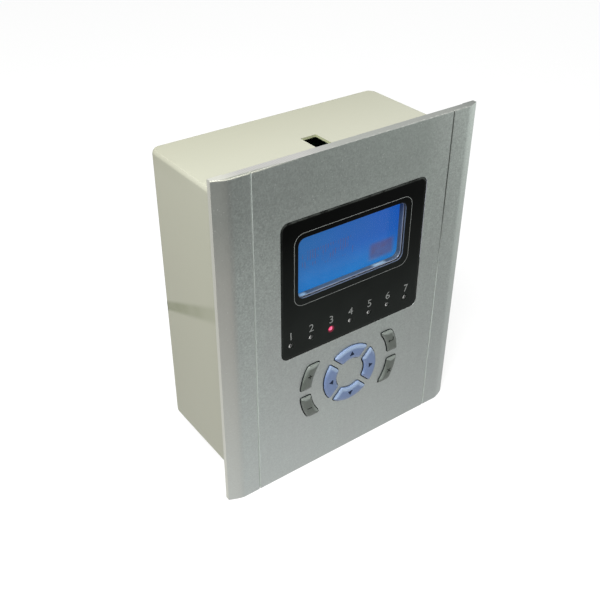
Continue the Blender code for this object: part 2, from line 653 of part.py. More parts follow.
def housing_sections(inset, front, back, edge_radius, side_radius, rear_radius):
    """Cross-sections of the housing's box, turned in at the rear along quarter circles.

    The upright rear edges take the side radius, the top and bottom rear edges the rear radius.
    """
    width = HOUSING_WIDTH - 2 * inset
    height = HOUSING_HEIGHT - 2 * inset

    def drawn_in(radius, from_back):
        left = max(radius - from_back, 0)
        return radius - math.sqrt(radius ** 2 - left ** 2)

    def section(from_back):
        side = drawn_in(side_radius, from_back)
        end = drawn_in(rear_radius, from_back)
        radius = max(edge_radius - end, GAP)
        return rounded_rectangle(width - 2 * side, height - 2 * end, radius, 0, HOUSING_MIDDLE_Z, 3)

    reach = max(side_radius, rear_radius)
    sections = [(front, section(reach)), (back - reach, section(reach))]
    steps = 6
    for step in range(1, steps + 1):
        from_back = reach * (1 - math.sin(math.pi / 2 * step / steps))
        sections.append((back - from_back, section(from_back)))
    return sections


def card_faces():
    """X of the component face of each slide-in board."""
    middles = [CARD_COLUMN_X + CARD_COLUMN_SPACING * i for i in (-1, 0, 1)]
    return [middle - TERMINAL_WIDTH / 2 - GAP for middle in middles]


def make_housing():
    """Moulded box, open at the front, with screw bosses, board guides, slots and rear openings."""
    housing = add_object("housing", loft(housing_sections(
        0, HOUSING_FRONT_Y, HOUSING_BACK_Y, HOUSING_EDGE_RADIUS, HOUSING_SIDE_RADIUS, HOUSING_REAR_RADIUS)),
        (0, HOUSING_FRONT_Y, HOUSING_BOTTOM), "cream_plastic")
    cavity = loft(housing_sections(
        HOUSING_WALL, HOUSING_FRONT_Y - OVERCUT, HOUSING_BACK_Y - HOUSING_REAR_WALL,
        HOUSING_EDGE_RADIUS / 2, HOUSING_INNER_SIDE_RADIUS, HOUSING_INNER_RADIUS))
    combine(housing, cavity, "DIFFERENCE", "cavity")

    inner_back = HOUSING_BACK_Y - HOUSING_REAR_WALL
    bosses = bmesh.new()
    for x, z in housing_screw_places():
        prism(circle(BOSS_RADIUS, BOSS_SIDES, x, z), HOUSING_FRONT_Y, inner_back + BITE, bosses)
    for face in card_faces():
        for side_x in (face + GAP, face - BOARD_THICKNESS - GAP - RIB_THICKNESS):
            for low, high in ((HOUSING_BOTTOM + HOUSING_WALL - BITE, HOUSING_BOTTOM + HOUSING_WALL + RIB_HEIGHT),
                              (HOUSING_TOP - HOUSING_WALL - RIB_HEIGHT, HOUSING_TOP - HOUSING_WALL + BITE)):
                block((side_x, CARD_FRONT_Y, low), (side_x + RIB_THICKNESS, inner_back + BITE, high), bosses)
    combine(housing, bosses, "UNION", "bosses_and_guides")

    screw_holes = bmesh.new()
    for x, z in housing_screw_places():
        seat = HOUSING_BACK_Y - HOUSING_SCREW_SINK
        loft([
            (HOUSING_FRONT_Y - OVERCUT, circle(HOUSING_SCREW_RADIUS + GAP, 10, x, z)),
            (seat, circle(HOUSING_SCREW_RADIUS + GAP, 10, x, z)),
            (seat, circle(HOUSING_SCREW_HEAD_RADIUS + GAP, 10, x, z)),
            (HOUSING_BACK_Y + OVERCUT, circle(HOUSING_SCREW_HEAD_RADIUS + GAP, 10, x, z)),
        ], screw_holes)
    combine(housing, screw_holes, "DIFFERENCE", "screw_holes")

    slots = bmesh.new()
    half = CLAMP_SLOT_WIDTH / 2
    back = CLAMP_SLOT_FRONT + CLAMP_SLOT_LENGTH
    for low, high in ((HOUSING_TOP - HOUSING_WALL - BITE, HOUSING_TOP + OVERCUT),
                      (HOUSING_BOTTOM - OVERCUT, HOUSING_BOTTOM + HOUSING_WALL + BITE)):
        block((CLAMP_SLOT_X - half, CLAMP_SLOT_FRONT, low), (CLAMP_SLOT_X + half, back, high), slots)
    for face in card_faces():
        block((face, inner_back - OVERCUT, TERMINAL_BOTTOM - GAP),
              (face + 2 * GAP + TERMINAL_WIDTH, HOUSING_BACK_Y + OVERCUT,
               TERMINAL_BOTTOM + TERMINAL_HEIGHT + GAP), slots)
    combine(housing, slots, "DIFFERENCE", "slots")


def make_housing_screws():
    """Long corner screws from the rear of the housing into the panel."""
    seat = HOUSING_BACK_Y - HOUSING_SCREW_SINK + GAP
    for number, (x, z) in enumerate(housing_screw_places(), start=1):
        profile = [
            (CHANNEL_Y - HOUSING_SCREW_BITE, HOUSING_SCREW_RADIUS),
            (seat, HOUSING_SCREW_RADIUS),
            (seat, HOUSING_SCREW_HEAD_RADIUS),
            (seat + HOUSING_SCREW_HEAD_HEIGHT * 0.7, HOUSING_SCREW_HEAD_RADIUS),
            (seat + HOUSING_SCREW_HEAD_HEIGHT, HOUSING_SCREW_HEAD_RADIUS * 0.7),
        ]
        add_object(f"housing_screw_{number}", turned(profile, 10, x, z), (x, seat, z), "steel")


def make_card(name, face):
    """One slide-in board, held by the guides along its top and bottom edges."""
    return add_object(name, block(
        (face - BOARD_THICKNESS, CARD_FRONT_Y, CARD_BOTTOM), (face, CARD_BACK_Y, CARD_TOP)),
        (face, CARD_FRONT_Y, CARD_BOTTOM), "green_board")


def make_terminal_block(name, face):
    """Terminal block on the rear edge of a board, with a wire entry and a screw well per pole."""
    near = face + GAP
    far = near + TERMINAL_WIDTH
    top = TERMINAL_BOTTOM + TERMINAL_HEIGHT
    outline = [
        (near, TERMINAL_FRONT_Y), (far, TERMINAL_FRONT_Y),
        (far, TERMINAL_BACK_Y - TERMINAL_CHAMFER), (far - TERMINAL_CHAMFER, TERMINAL_BACK_Y),
        (near, TERMINAL_BACK_Y),
    ]
    shape = bmesh.new()
    low_ring = [shape.verts.new((x, y, TERMINAL_BOTTOM)) for x, y in outline]
    high_ring = [shape.verts.new((x, y, top)) for x, y in outline]
    for i in range(len(outline)):
        j = (i + 1) % len(outline)
        shape.faces.new((low_ring[i], low_ring[j], high_ring[j], high_ring[i]))
    shape.faces.new(low_ring)
    shape.faces.new(list(reversed(high_ring)))
    strip = add_object(name, shape, (near, TERMINAL_FRONT_Y, TERMINAL_BOTTOM), "green_plastic")

    poles = bmesh.new()
    entry_x = near + TERMINAL_WIDTH * 0.27
    well_x = near + TERMINAL_WIDTH * 0.58
    half = TERMINAL_ENTRY / 2
    for pole in range(TERMINAL_POLES):
        z = TERMINAL_BOTTOM + TERMINAL_END + TERMINAL_PITCH * (pole + 0.5)
        block((entry_x - half, TERMINAL_BACK_Y - TERMINAL_ENTRY_DEPTH, z - half),
              (entry_x + half, TERMINAL_BACK_Y + OVERCUT, z + half), poles)
        prism(circle(TERMINAL_WELL_RADIUS, 8, well_x, z),
              TERMINAL_BACK_Y - TERMINAL_WELL_DEPTH, TERMINAL_BACK_Y + OVERCUT, poles)
    combine(strip, poles, "DIFFERENCE", "poles")


def standing_block(name, face, size, z, finish):
    """A bevelled component standing on a board's face, centred at a height."""
    near = face + GAP
    return add_object(name, bevelled_block(
        (near, CARD_MIDDLE_Y - size[1] / 2, z - size[2] / 2),
        (near + size[0], CARD_MIDDLE_Y + size[1] / 2, z + size[2] / 2), COMPONENT_BEVEL),
        (near, CARD_MIDDLE_Y, z), finish)


def make_current_transformers(face):
    """Three current transformers, each a potted block with the end of its core standing proud."""
    for number, letter in enumerate("abc"):
        z = CT_FIRST_Z + CT_PITCH * number
        case = standing_block(f"current_transformer_{letter}", face, CT_SIZE, z, "black_plastic")
        end = face + GAP + CT_SIZE[0]
        core = prism(circle(CT_CORE_RADIUS, 14), end - BITE, end + CT_CORE_HEIGHT)
        bmesh.ops.rotate(core, verts=core.verts, cent=(0, 0, 0), matrix=Matrix.Rotation(-math.pi / 2, 3, "Z"))
        bmesh.ops.translate(core, verts=core.verts, vec=(0, CARD_MIDDLE_Y, z))
        combine(case, core, "UNION", "core")


def make_power_parts(face):
    """Relays and the mains transformer of the power board."""
    for number in range(RELAY_COUNT):
        standing_block(f"relay_{number + 1}", face, RELAY_SIZE, RELAY_FIRST_Z + RELAY_PITCH * number, "blue_relay")
    core = standing_block("power_transformer", face, TRANSFORMER_SIZE, TRANSFORMER_Z, "laminated_core")
    half_y = TRANSFORMER_SIZE[1] / 2 + TRANSFORMER_BOBBIN_PROUD
    half_z = TRANSFORMER_SIZE[2] / 2 - 2 * TRANSFORMER_BOBBIN_INSET
    near = face + GAP + TRANSFORMER_BOBBIN_INSET
    bobbin = bevelled_block(
        (near, CARD_MIDDLE_Y - half_y, TRANSFORMER_Z - half_z),
        (near + TRANSFORMER_SIZE[0] - 2 * TRANSFORMER_BOBBIN_INSET, CARD_MIDDLE_Y + half_y, TRANSFORMER_Z + half_z),
        COMPONENT_BEVEL)
    combine(core, bobbin, "UNION", "bobbin")


def make_ribbon_cable(face):
    """Flat cable from the display board to the processor board, with a plug at each end."""
    plug_y = DISPLAY_BOARD_BACK_Y + GAP
    start = Vector((face + PLUG_THICKNESS * 2, plug_y + PLUG_LENGTH - BITE))
    end = Vector((face + GAP + PLUG_THICKNESS / 2, CARD_FRONT_Y + 3 * PLUG_LENGTH + BITE))
    reach = (end.y - start.y) / 2
    middle_line = []
    for step in range(CABLE_STEPS + 1):
        part = step / CABLE_STEPS
        ease = part * part * (3 - 2 * part)
        middle_line.append(Vector((start.x + (end.x - start.x) * ease, start.y + 2 * reach * part)))
    near_side, far_side = [], []
    for i, point in enumerate(middle_line):
        before = middle_line[max(i - 1, 0)]
        after = middle_line[min(i + 1, CABLE_STEPS)]
        along = (after - before).normalized()
        across = Vector((-along.y, along.x)) * CABLE_THICKNESS / 2
        near_side.append(point + across)
        far_side.append(point - across)
    outline = near_side + list(reversed(far_side))
    shape = bmesh.new()
    low = [shape.verts.new((p.x, p.y, CABLE_Z - CABLE_WIDTH / 2)) for p in outline]
    high = [shape.verts.new((p.x, p.y, CABLE_Z + CABLE_WIDTH / 2)) for p in outline]
    for i in range(len(outline)):
        j = (i + 1) % len(outline)
        shape.faces.new((low[i], low[j], high[j], high[i]))
    shape.faces.new(low)
    shape.faces.new(list(reversed(high)))
    cable = add_object("ribbon_cable", shape, (start.x, start.y, CABLE_Z), "grey_cable")

    half = CABLE_WIDTH / 2 + PLUG_THICKNESS / 4
    plugs = block((start.x - PLUG_THICKNESS / 2, plug_y, CABLE_Z - half),
                  (start.x + PLUG_THICKNESS / 2, plug_y + PLUG_LENGTH, CABLE_Z + half))
    block((face + GAP, end.y - BITE, CABLE_Z - half),
          (face + GAP + PLUG_THICKNESS, end.y + PLUG_LENGTH, CABLE_Z + half), plugs)
    combine(cable, plugs, "UNION", "plugs")


def make_cards():
    """Three slide-in boards with what they carry: transformers, processor, power supply and relays."""
    input_face, processor_face, power_face = card_faces()
    make_card("input_board", input_face)
    make_card("processor_board", processor_face)
    make_card("power_board", power_face)
    make_terminal_block("terminal_block_inputs", input_face)
    make_terminal_block("terminal_block_signals", processor_face)
    make_terminal_block("terminal_block_outputs", power_face)
    make_current_transformers(input_face)
    make_power_parts(power_face)
    standing_block("processor", processor_face, PROCESSOR_SIZE, PROCESSOR_Z, "black_plastic")
    make_ribbon_cable(processor_face)


def main():
    clear_scene()
    relay = bpy.data.objects.new("relay", None)
    relay.location = (0, -(TOTAL_DEPTH / 2 - KEY_RISE), 0)
    bpy.context.collection.objects.link(relay)
    make_front_panel()
    make_overlay()
    make_display_module()
    make_leds()
    make_keys()
    make_display_board()
    make_housing()
    make_housing_screws()
    make_cards()


main()
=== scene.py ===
"""Looks of the panel-mounted protection relay: finishes, fine pieces, stage, lights and camera.

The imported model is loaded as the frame. Its front looks along -Y, +X is to the right and
+Z is up, and the panel stands on its lower edge at z = 0. Sizes are in metres.
"""
import json
import math

import bmesh
import bpy
from mathutils import Matrix, Vector

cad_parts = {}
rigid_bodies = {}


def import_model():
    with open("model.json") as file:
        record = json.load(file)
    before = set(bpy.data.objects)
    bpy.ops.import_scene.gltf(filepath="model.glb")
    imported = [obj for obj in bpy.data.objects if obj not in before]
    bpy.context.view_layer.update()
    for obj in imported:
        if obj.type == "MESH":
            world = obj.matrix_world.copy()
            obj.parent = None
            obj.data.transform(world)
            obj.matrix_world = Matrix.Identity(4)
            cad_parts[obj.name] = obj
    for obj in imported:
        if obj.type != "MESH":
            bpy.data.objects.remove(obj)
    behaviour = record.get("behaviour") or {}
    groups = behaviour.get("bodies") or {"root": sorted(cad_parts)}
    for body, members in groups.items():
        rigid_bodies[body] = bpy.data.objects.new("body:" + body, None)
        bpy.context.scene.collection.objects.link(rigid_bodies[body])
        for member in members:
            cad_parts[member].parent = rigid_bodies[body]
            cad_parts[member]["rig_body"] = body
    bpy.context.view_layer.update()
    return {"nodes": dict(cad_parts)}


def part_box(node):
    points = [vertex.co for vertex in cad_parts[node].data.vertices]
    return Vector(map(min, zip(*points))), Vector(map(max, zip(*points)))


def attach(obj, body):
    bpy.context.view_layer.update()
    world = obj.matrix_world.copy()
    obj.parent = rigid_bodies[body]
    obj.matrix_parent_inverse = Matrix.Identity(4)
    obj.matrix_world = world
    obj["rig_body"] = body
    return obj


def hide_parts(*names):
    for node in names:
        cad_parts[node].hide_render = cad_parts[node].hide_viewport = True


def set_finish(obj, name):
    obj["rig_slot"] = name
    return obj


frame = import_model()
NODES = frame["nodes"]

# Pieces of the frame that the finishes and fine pieces line up with
PANEL_LOW, PANEL_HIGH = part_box("front_panel")
OVERLAY_LOW, OVERLAY_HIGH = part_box("display_overlay")
HOUSING_LOW, HOUSING_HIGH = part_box("housing")
LAMP_LOW, LAMP_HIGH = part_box("led_1")
FACE_Y = PANEL_LOW.y
PANEL_MIDDLE_Z = PANEL_HIGH.z / 2

# Panel: its two grooves, the part with the openings, and the flanges that sit behind it
GROOVE_FROM_SIDE = 0.0199
GROOVE_X = PANEL_HIGH.x - GROOVE_FROM_SIDE
GROOVE_HALF_WIDTH = 0.00046
OPENINGS_FROM_GROOVE = 0.005
OPENINGS_FROM_END = 0.010
OPENING_DEPTH = 0.0056
FLANGE_DEPTH = 0.0058
ABOVE_KEYPAD_Z = 0.110

# Window in the overlay, and the display behind it
WINDOW_X = -0.001
WINDOW_Z = 0.14185
WINDOW_WIDTH = 0.0732
WINDOW_HEIGHT = 0.0365
WINDOW_CORNER = 0.0043
WINDOW_SILL_Z = WINDOW_Z - WINDOW_HEIGHT / 2
OVERLAY_CORNER = 0.0045
DOT_PITCH = 0.00056
DOT_GAP_SHARE = 0.16
LETTER_PITCH = 0.0017
WORDS_X = (-0.0305, 0.0045)
WORDS_Z = (0.1358, 0.1470)
BLOCK_X = 0.0250
BLOCK_Z = 0.1308

# Clamp slot in the housing's top, and the painted soft shadow on its left side, at the front and at the rear
SLOT_X = 0.0005
SLOT_WIDTH = 0.0104
SLOT_LENGTH = 0.030
SLOT_FROM_FRONT = 0.0082
SLOT_Y = HOUSING_LOW.y + SLOT_FROM_FRONT + SLOT_LENGTH / 2
SLOT_RIM = 0.0004
SIDE_SHADOW_HEIGHTS = (0.1177, 0.0918)
SIDE_SHADOW_HALF_WIDTHS = (0.0050, 0.0030)

# Lamps
LAMP_COUNT = 7
LIT_LAMP = 3
LAMP_X = (LAMP_LOW.x + LAMP_HIGH.x) / 2
LAMP_Z = (LAMP_LOW.z + LAMP_HIGH.z) / 2
LAMP_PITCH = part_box("led_2")[0].x - LAMP_LOW.x
LAMP_RADIUS = 0.0015
LAMP_TIP_RADIUS = 0.00012
LAMP_DOME = 0.0011
LAMP_FLANGE_RADIUS = 0.0019
LAMP_FLANGE_THICKNESS = 0.001
LEG_SIDE = 0.0009
LEG_THICKNESS = 0.0005

# Keypad: four arrow keys in a ring and four keys beside it. Turns are in degrees round its centre,
# the dome is a list of insets with the fall below the top, and the corner limits are shares of a length
KEYPAD_X = 0.0002
KEYPAD_Z = 0.0576
KEY_RISE = 0.0015
KEY_DOME = (
    (0.0032, 0.0), (0.0026, 0.000015), (0.0021, 0.000045), (0.0017, 0.00009),
    (0.0013, 0.00016), (0.0010, 0.00024), (0.0007, 0.00035), (0.00045, 0.00049),
    (0.00025, 0.00065), (0.00012, 0.00082), (0.00004, 0.00100), (0.0, 0.00120))
KEY_GAP = 0.0005
KEY_CORNER = 0.0012
KEY_CORNER_LEAST = 0.3
KEY_CORNER_MOST = 0.4
KEY_FLANGE_WIDTH = 0.0009
KEY_FLANGE_THICKNESS = 0.0012
RING_RADII = (0.0105, 0.0195)
RING_SPACE = 0.0019
SIDE_RADII = (0.029, 0.0363)
SIDE_SPACE = 0.0026
SIDE_END_HEIGHT = 0.0189
SIDE_END_CORNER = 0.002
SIDE_END_X = 0.0262
SIDE_END_REACH = 0.0082
SIDE_END_BLUNT = 2.1
SIDE_STEM_TURN = 37.5 / 2
SIDE_TURNS = {"enter": 21, "cancel": -21, "plus": 159, "minus": 201}
STEM_RADIUS = 0.0017
STEM_CHAMFER = 0.0003

# Print: half its thickness, and the sizes of signs, numbers and the line round the window
PRINT = 0.00004
ARROW_RADIUS = 0.0148
SIGN_RADIUS = 0.0326
SIGN_STROKE = 0.0007
ENTER_STROKE = 0.0006
NUMBER_HEIGHT = 0.0048
NUMBER_RISE = 0.0042
CAPITALS_SHARE = 0.7
LINE_X = -0.0002
LINE_Z = 0.14125
LINE_HALF_WIDTH = 0.0401
LINE_HALF_HEIGHT = 0.02205
LINE_CORNER = 0.0062
LINE_THICKNESS = 0.0003

# Mesh work
WELD = 0.000002
FLAT_ANGLE = math.radians(0.6)
SHARP_ANGLE = math.radians(30)
TINY_AREA = 1e-12
CORNER_STEPS = 10
ARC_STEPS = 16
STEM_STEPS = 24
LAMP_STEPS = 28
DOME_STEPS = 8

# Room: brightness by height, from straight down at -1 to straight up at 1, for matt and glossy faces
ROOM_LIGHT = (
    (-1.0, 1.5), (-0.8, 1.32), (-0.63, 0.58), (-0.48, 0.165), (-0.2, 0.10), (0.0, 0.13), (0.35, 0.32),
    (1.0, 0.66))
ROOM_REFLECTED = (
    (-1.0, 1.5), (-0.8, 1.32), (-0.63, 0.59), (-0.50, 0.155), (-0.36, 0.06), (-0.24, 0.24), (-0.1, 0.58),
    (0.1, 0.5), (0.4, 0.25), (1.0, 0.5))
FLOOR_HALF_SIZE = 6.0
FLOOR_GAP = 0.0004

# Lights: name, place, size and power, all aimed at one point
LIGHTS = (
    ("overhead", (-0.42, -0.28, 0.78), 0.40, 8.2),
    ("left_fill", (-1.1, -0.35, 0.55), 0.4, 0.1),
)
LIGHTS_AIM = Vector((0, 0, 0.1))

# Camera, at the photograph's place: its lens is in millimetres, for a sensor 36 mm wide
CAMERA_PLACE = (-0.25561, -0.34297, 0.37207)
CAMERA_AHEAD = (0.4914, 0.6689, -0.5576)
CAMERA_RIGHT = (0.8078, -0.5895, 0.0049)
CAMERA_LENS = 50.63


class Nodes:
    """Helpers that add nodes to a shader tree. A value is a number, a colour or a node's output."""

    def __init__(self, tree):
        self.tree = tree

    def link(self, source, target):
        self.tree.links.new(source, target)

    def put(self, socket, value):
        if isinstance(value, bpy.types.NodeSocket):
            self.link(value, socket)
        elif isinstance(value, tuple):
            socket.default_value = (*value, 1.0)
        else:
            socket.default_value = value

    def math(self, operation, a, b=0.0):
        node = self.tree.nodes.new("ShaderNodeMath")
        node.operation = operation
        self.put(node.inputs[0], a)
        self.put(node.inputs[1], b)
        return node.outputs[0]

    def span(self, value, low, high, to_low=0.0, to_high=1.0, smooth=False):
        """Carry a value over from one range to another, and hold it at the ends."""
        node = self.tree.nodes.new("ShaderNodeMapRange")
        if smooth:
            node.interpolation_type = "SMOOTHSTEP"
        self.put(node.inputs["Value"], value)
        node.inputs["From Min"].default_value = low
        node.inputs["From Max"].default_value = high
        node.inputs["To Min"].default_value = to_low
        node.inputs["To Max"].default_value = to_high
        return node.outputs["Result"]

    def mix(self, factor, under, over):
        node = self.tree.nodes.new("ShaderNodeMix")
        node.data_type = "RGBA"
        self.put(node.inputs["Factor"], factor)
        self.put(node.inputs["A"], under)
        self.put(node.inputs["B"], over)
        return node.outputs["Result"]

    def parts(self, vector):
        """The X, Y and Z parts of a vector."""
        node = self.tree.nodes.new("ShaderNodeSeparateXYZ")
        self.link(vector, node.inputs[0])
        return node.outputs

    def every(self, *masks):
        """The product of several masks."""
        product = masks[0]
        for mask in masks[1:]:
            product = self.math("MULTIPLY", product, mask)
        return product

    def away(self, value, middle):
        """How far a value lies from its middle, either way."""
        return self.math("ABSOLUTE", self.math("SUBTRACT", value, middle))

    def near(self, value, middle, reach):
        """1 where a value lies within a reach of its middle."""
        return self.math("LESS_THAN", self.away(value, middle), reach)

    def between(self, value, low, high):
        """1 where a value lies between two others."""
        return self.every(self.math("GREATER_THAN", value, low), self.math("LESS_THAN", value, high))

    def dashes(self, value, pitch, share):
        """1 along the first share of every pitch."""
        return self.math("LESS_THAN", self.math("FRACT", self.math("MULTIPLY", value, 1.0 / pitch)), share)

    def length(self, a, b):
        """Length of the slanting line with the parts a and b."""
        return self.math("SQRT", self.math("ADD", self.math("MULTIPLY", a, a), self.math("MULTIPLY", b, b)))


class Finish(Nodes):
    """A procedural material: a Principled shader with texture nodes before it."""

    def __init__(self, name, colour, roughness, metallic=0.0):
        self.material = bpy.data.materials.new(name)
        self.material.use_nodes = True
        self.material.diffuse_color = (*colour, 1.0)
        super().__init__(self.material.node_tree)
        self.shader = self.tree.nodes["Principled BSDF"]
        self.shader.inputs["Base Color"].default_value = (*colour, 1.0)
        self.shader.inputs["Roughness"].default_value = roughness
        self.shader.inputs["Metallic"].default_value = metallic
        self.place = self.tree.nodes.new("ShaderNodeTexCoord").outputs["Object"]
        self.colour = colour
        self.colour_out = None
        self.height = None

    def axes(self):
        """X, Y and Z of the place on the surface."""
        return self.parts(self.place)

    def scaled(self, x, y, z, turn=(0.0, 0.0, 0.0)):
        node = self.tree.nodes.new("ShaderNodeMapping")
        node.inputs["Scale"].default_value = (x, y, z)
        node.inputs["Rotation"].default_value = turn
        self.link(self.place, node.inputs["Vector"])
        return node.outputs["Vector"]

    def noise(self, scale, detail=2.0, roughness=0.5, source=None):
        node = self.tree.nodes.new("ShaderNodeTexNoise")
        self.link(source or self.place, node.inputs["Vector"])
        node.inputs["Scale"].default_value = scale
        node.inputs["Detail"].default_value = detail
        node.inputs["Roughness"].default_value = roughness
        return node.outputs["Fac"]

    def cells(self, scale):
        node = self.tree.nodes.new("ShaderNodeTexVoronoi")
        self.link(self.place, node.inputs["Vector"])
        node.inputs["Scale"].default_value = scale
        return node.outputs["Distance"]

    def waves(self, scale, direction, distortion=0.0):
        node = self.tree.nodes.new("ShaderNodeTexWave")
        node.bands_direction = direction
        self.link(self.place, node.inputs["Vector"])
        node.inputs["Scale"].default_value = scale
        node.inputs["Distortion"].default_value = distortion
        return node.outputs["Fac"]

    def normal(self, axis):
        """The part of the surface's normal that lies along an axis (0, 1 or 2)."""
        node = self.tree.nodes.new("ShaderNodeNewGeometry")
        return self.parts(node.outputs["Normal"])[axis]

    def facing(self, axis):
        """1 where the surface's normal lies along the axis, either way."""
        return self.math("GREATER_THAN", self.math("ABSOLUTE", self.normal(axis)), 0.8)

    def tint(self, factor, over):
        """Lay another colour over what is there so far, by a factor."""
        self.colour_out = self.mix(factor, self.colour_out or self.colour, over)
        self.link(self.colour_out, self.shader.inputs["Base Color"])

    def vary(self, source, low, high, dark, light):
        """Darken and lighten the base colour with a texture, before any tint."""
        shade = tuple(min(c * dark, 1.0) for c in self.colour)
        bright = tuple(min(c * light, 1.0) for c in self.colour)
        self.colour_out = self.mix(self.span(source, low, high), shade, bright)
        self.link(self.colour_out, self.shader.inputs["Base Color"])

    def roughen(self, source, low, high, smooth, coarse):
        self.link(self.span(source, low, high, smooth, coarse), self.shader.inputs["Roughness"])

    def raise_by(self, source, strength, distance):
        """Add a texture to the bump, on top of the bumps so far."""
        node = self.tree.nodes.new("ShaderNodeBump")
        node.inputs["Strength"].default_value = strength
        node.inputs["Distance"].default_value = distance
        self.link(source, node.inputs["Height"])
        if self.height:
            self.link(self.height, node.inputs["Normal"])
        self.height = node.outputs["Normal"]
        self.link(self.height, self.shader.inputs["Normal"])

    def glow(self, colour, strength):
        self.put(self.shader.inputs["Emission Color"], colour)
        self.shader.inputs["Emission Strength"].default_value = strength


def rectangle_distance(made, x, z, half_w, half_h, radius, centre_x, centre_z):
    """Distance from a rounded rectangle's edge in the XZ plane, less than 0 inside it."""
    beyond = []
    for value, centre, half in ((x, centre_x, half_w), (z, centre_z, half_h)):
        outside = made.math("SUBTRACT", made.away(value, centre), half - radius)
        beyond.append(made.math("MAXIMUM", outside, 0.0))
    return made.math("SUBTRACT", made.length(*beyond), radius)


def sawn_end(made, x, depth, saw):
    """Colour of the panel's sawn ends, with painted light and shade: paler to the left where the light falls
    and palest at the left wing's tip, darker to the right, darker along the front on the left, and painted
    glints in flecks along the front edge.
    """
    pale = made.mix(made.span(saw, 0.2, 0.9), (0.45, 0.445, 0.43), (0.50, 0.495, 0.475))
    # Painted light and shade: darker to the right, paler to the left, palest at the left wing's tip
    right = made.mix(made.span(x, -0.010, 0.078), (0.36, 0.37, 0.345), (0.245, 0.255, 0.238))
    right = made.mix(made.span(x, 0.066, 0.082), right, (0.19, 0.20, 0.187))
    sawn = made.mix(made.span(x, -0.034, -0.012), pale, right)
    sawn = made.mix(made.span(x, -0.079, -0.069, 1.0, 0.0), sawn, (0.60, 0.60, 0.54))
    front = made.span(depth, 0.0009, 0.0017, 1.0, 0.0)
    left_front = made.every(front, made.span(x, -0.062, -0.046, 0.8, 0.0))
    sawn = made.mix(left_front, sawn, (0.26, 0.28, 0.22))
    # Painted glints in flecks along the front edge
    specks = made.span(made.noise(420.0, 3.0, 0.6), 0.46, 0.66)
    fleck_glints = made.every(specks, front, made.span(x, -0.03, 0.03, 0.4, 0.95))
    return made.mix(fleck_glints, sawn, (0.52, 0.53, 0.49))


def opening_lining(made, x, z, depth):
    """Painted light and shade on the milled openings' walls: painted shade round keys and lamps; round the
    window a painted pale rim at the front, painted shade deeper in and painted glints on the sill.
    """
    # Painted shade deeper in, and a painted pale rim near the front
    wall = made.mix(made.span(depth, 0.0018, 0.0035), (0.20, 0.25, 0.33), (0.10, 0.14, 0.18))
    wall = made.mix(made.span(depth, 0.0016, 0.0027, 1.0, 0.0), wall, (0.80, 0.84, 0.96))
    # Painted glints on the window's sill
    left_glint = made.span(made.away(x, -0.0330), 0.0012, 0.0035, 1.0, 0.0)
    right_glint = made.span(made.away(x, 0.0212), 0.0030, 0.0055, 1.0, 0.0)
    glint = made.every(
        made.math("MAXIMUM", left_glint, made.math("MULTIPLY", right_glint, 0.75)),
        made.near(z, WINDOW_SILL_Z, 0.0022), made.span(depth, 0.0022, 0.0030),
        made.span(depth, 0.0041, 0.0055, 1.0, 0.1))
    wall = made.mix(glint, wall, (0.62, 0.84, 0.90))
    # Painted shade on the walls round keys and lamps
    beside_window = made.math("GREATER_THAN", z, WINDOW_SILL_Z - 0.004)
    return made.mix(beside_window, (0.045, 0.045, 0.05), wall)


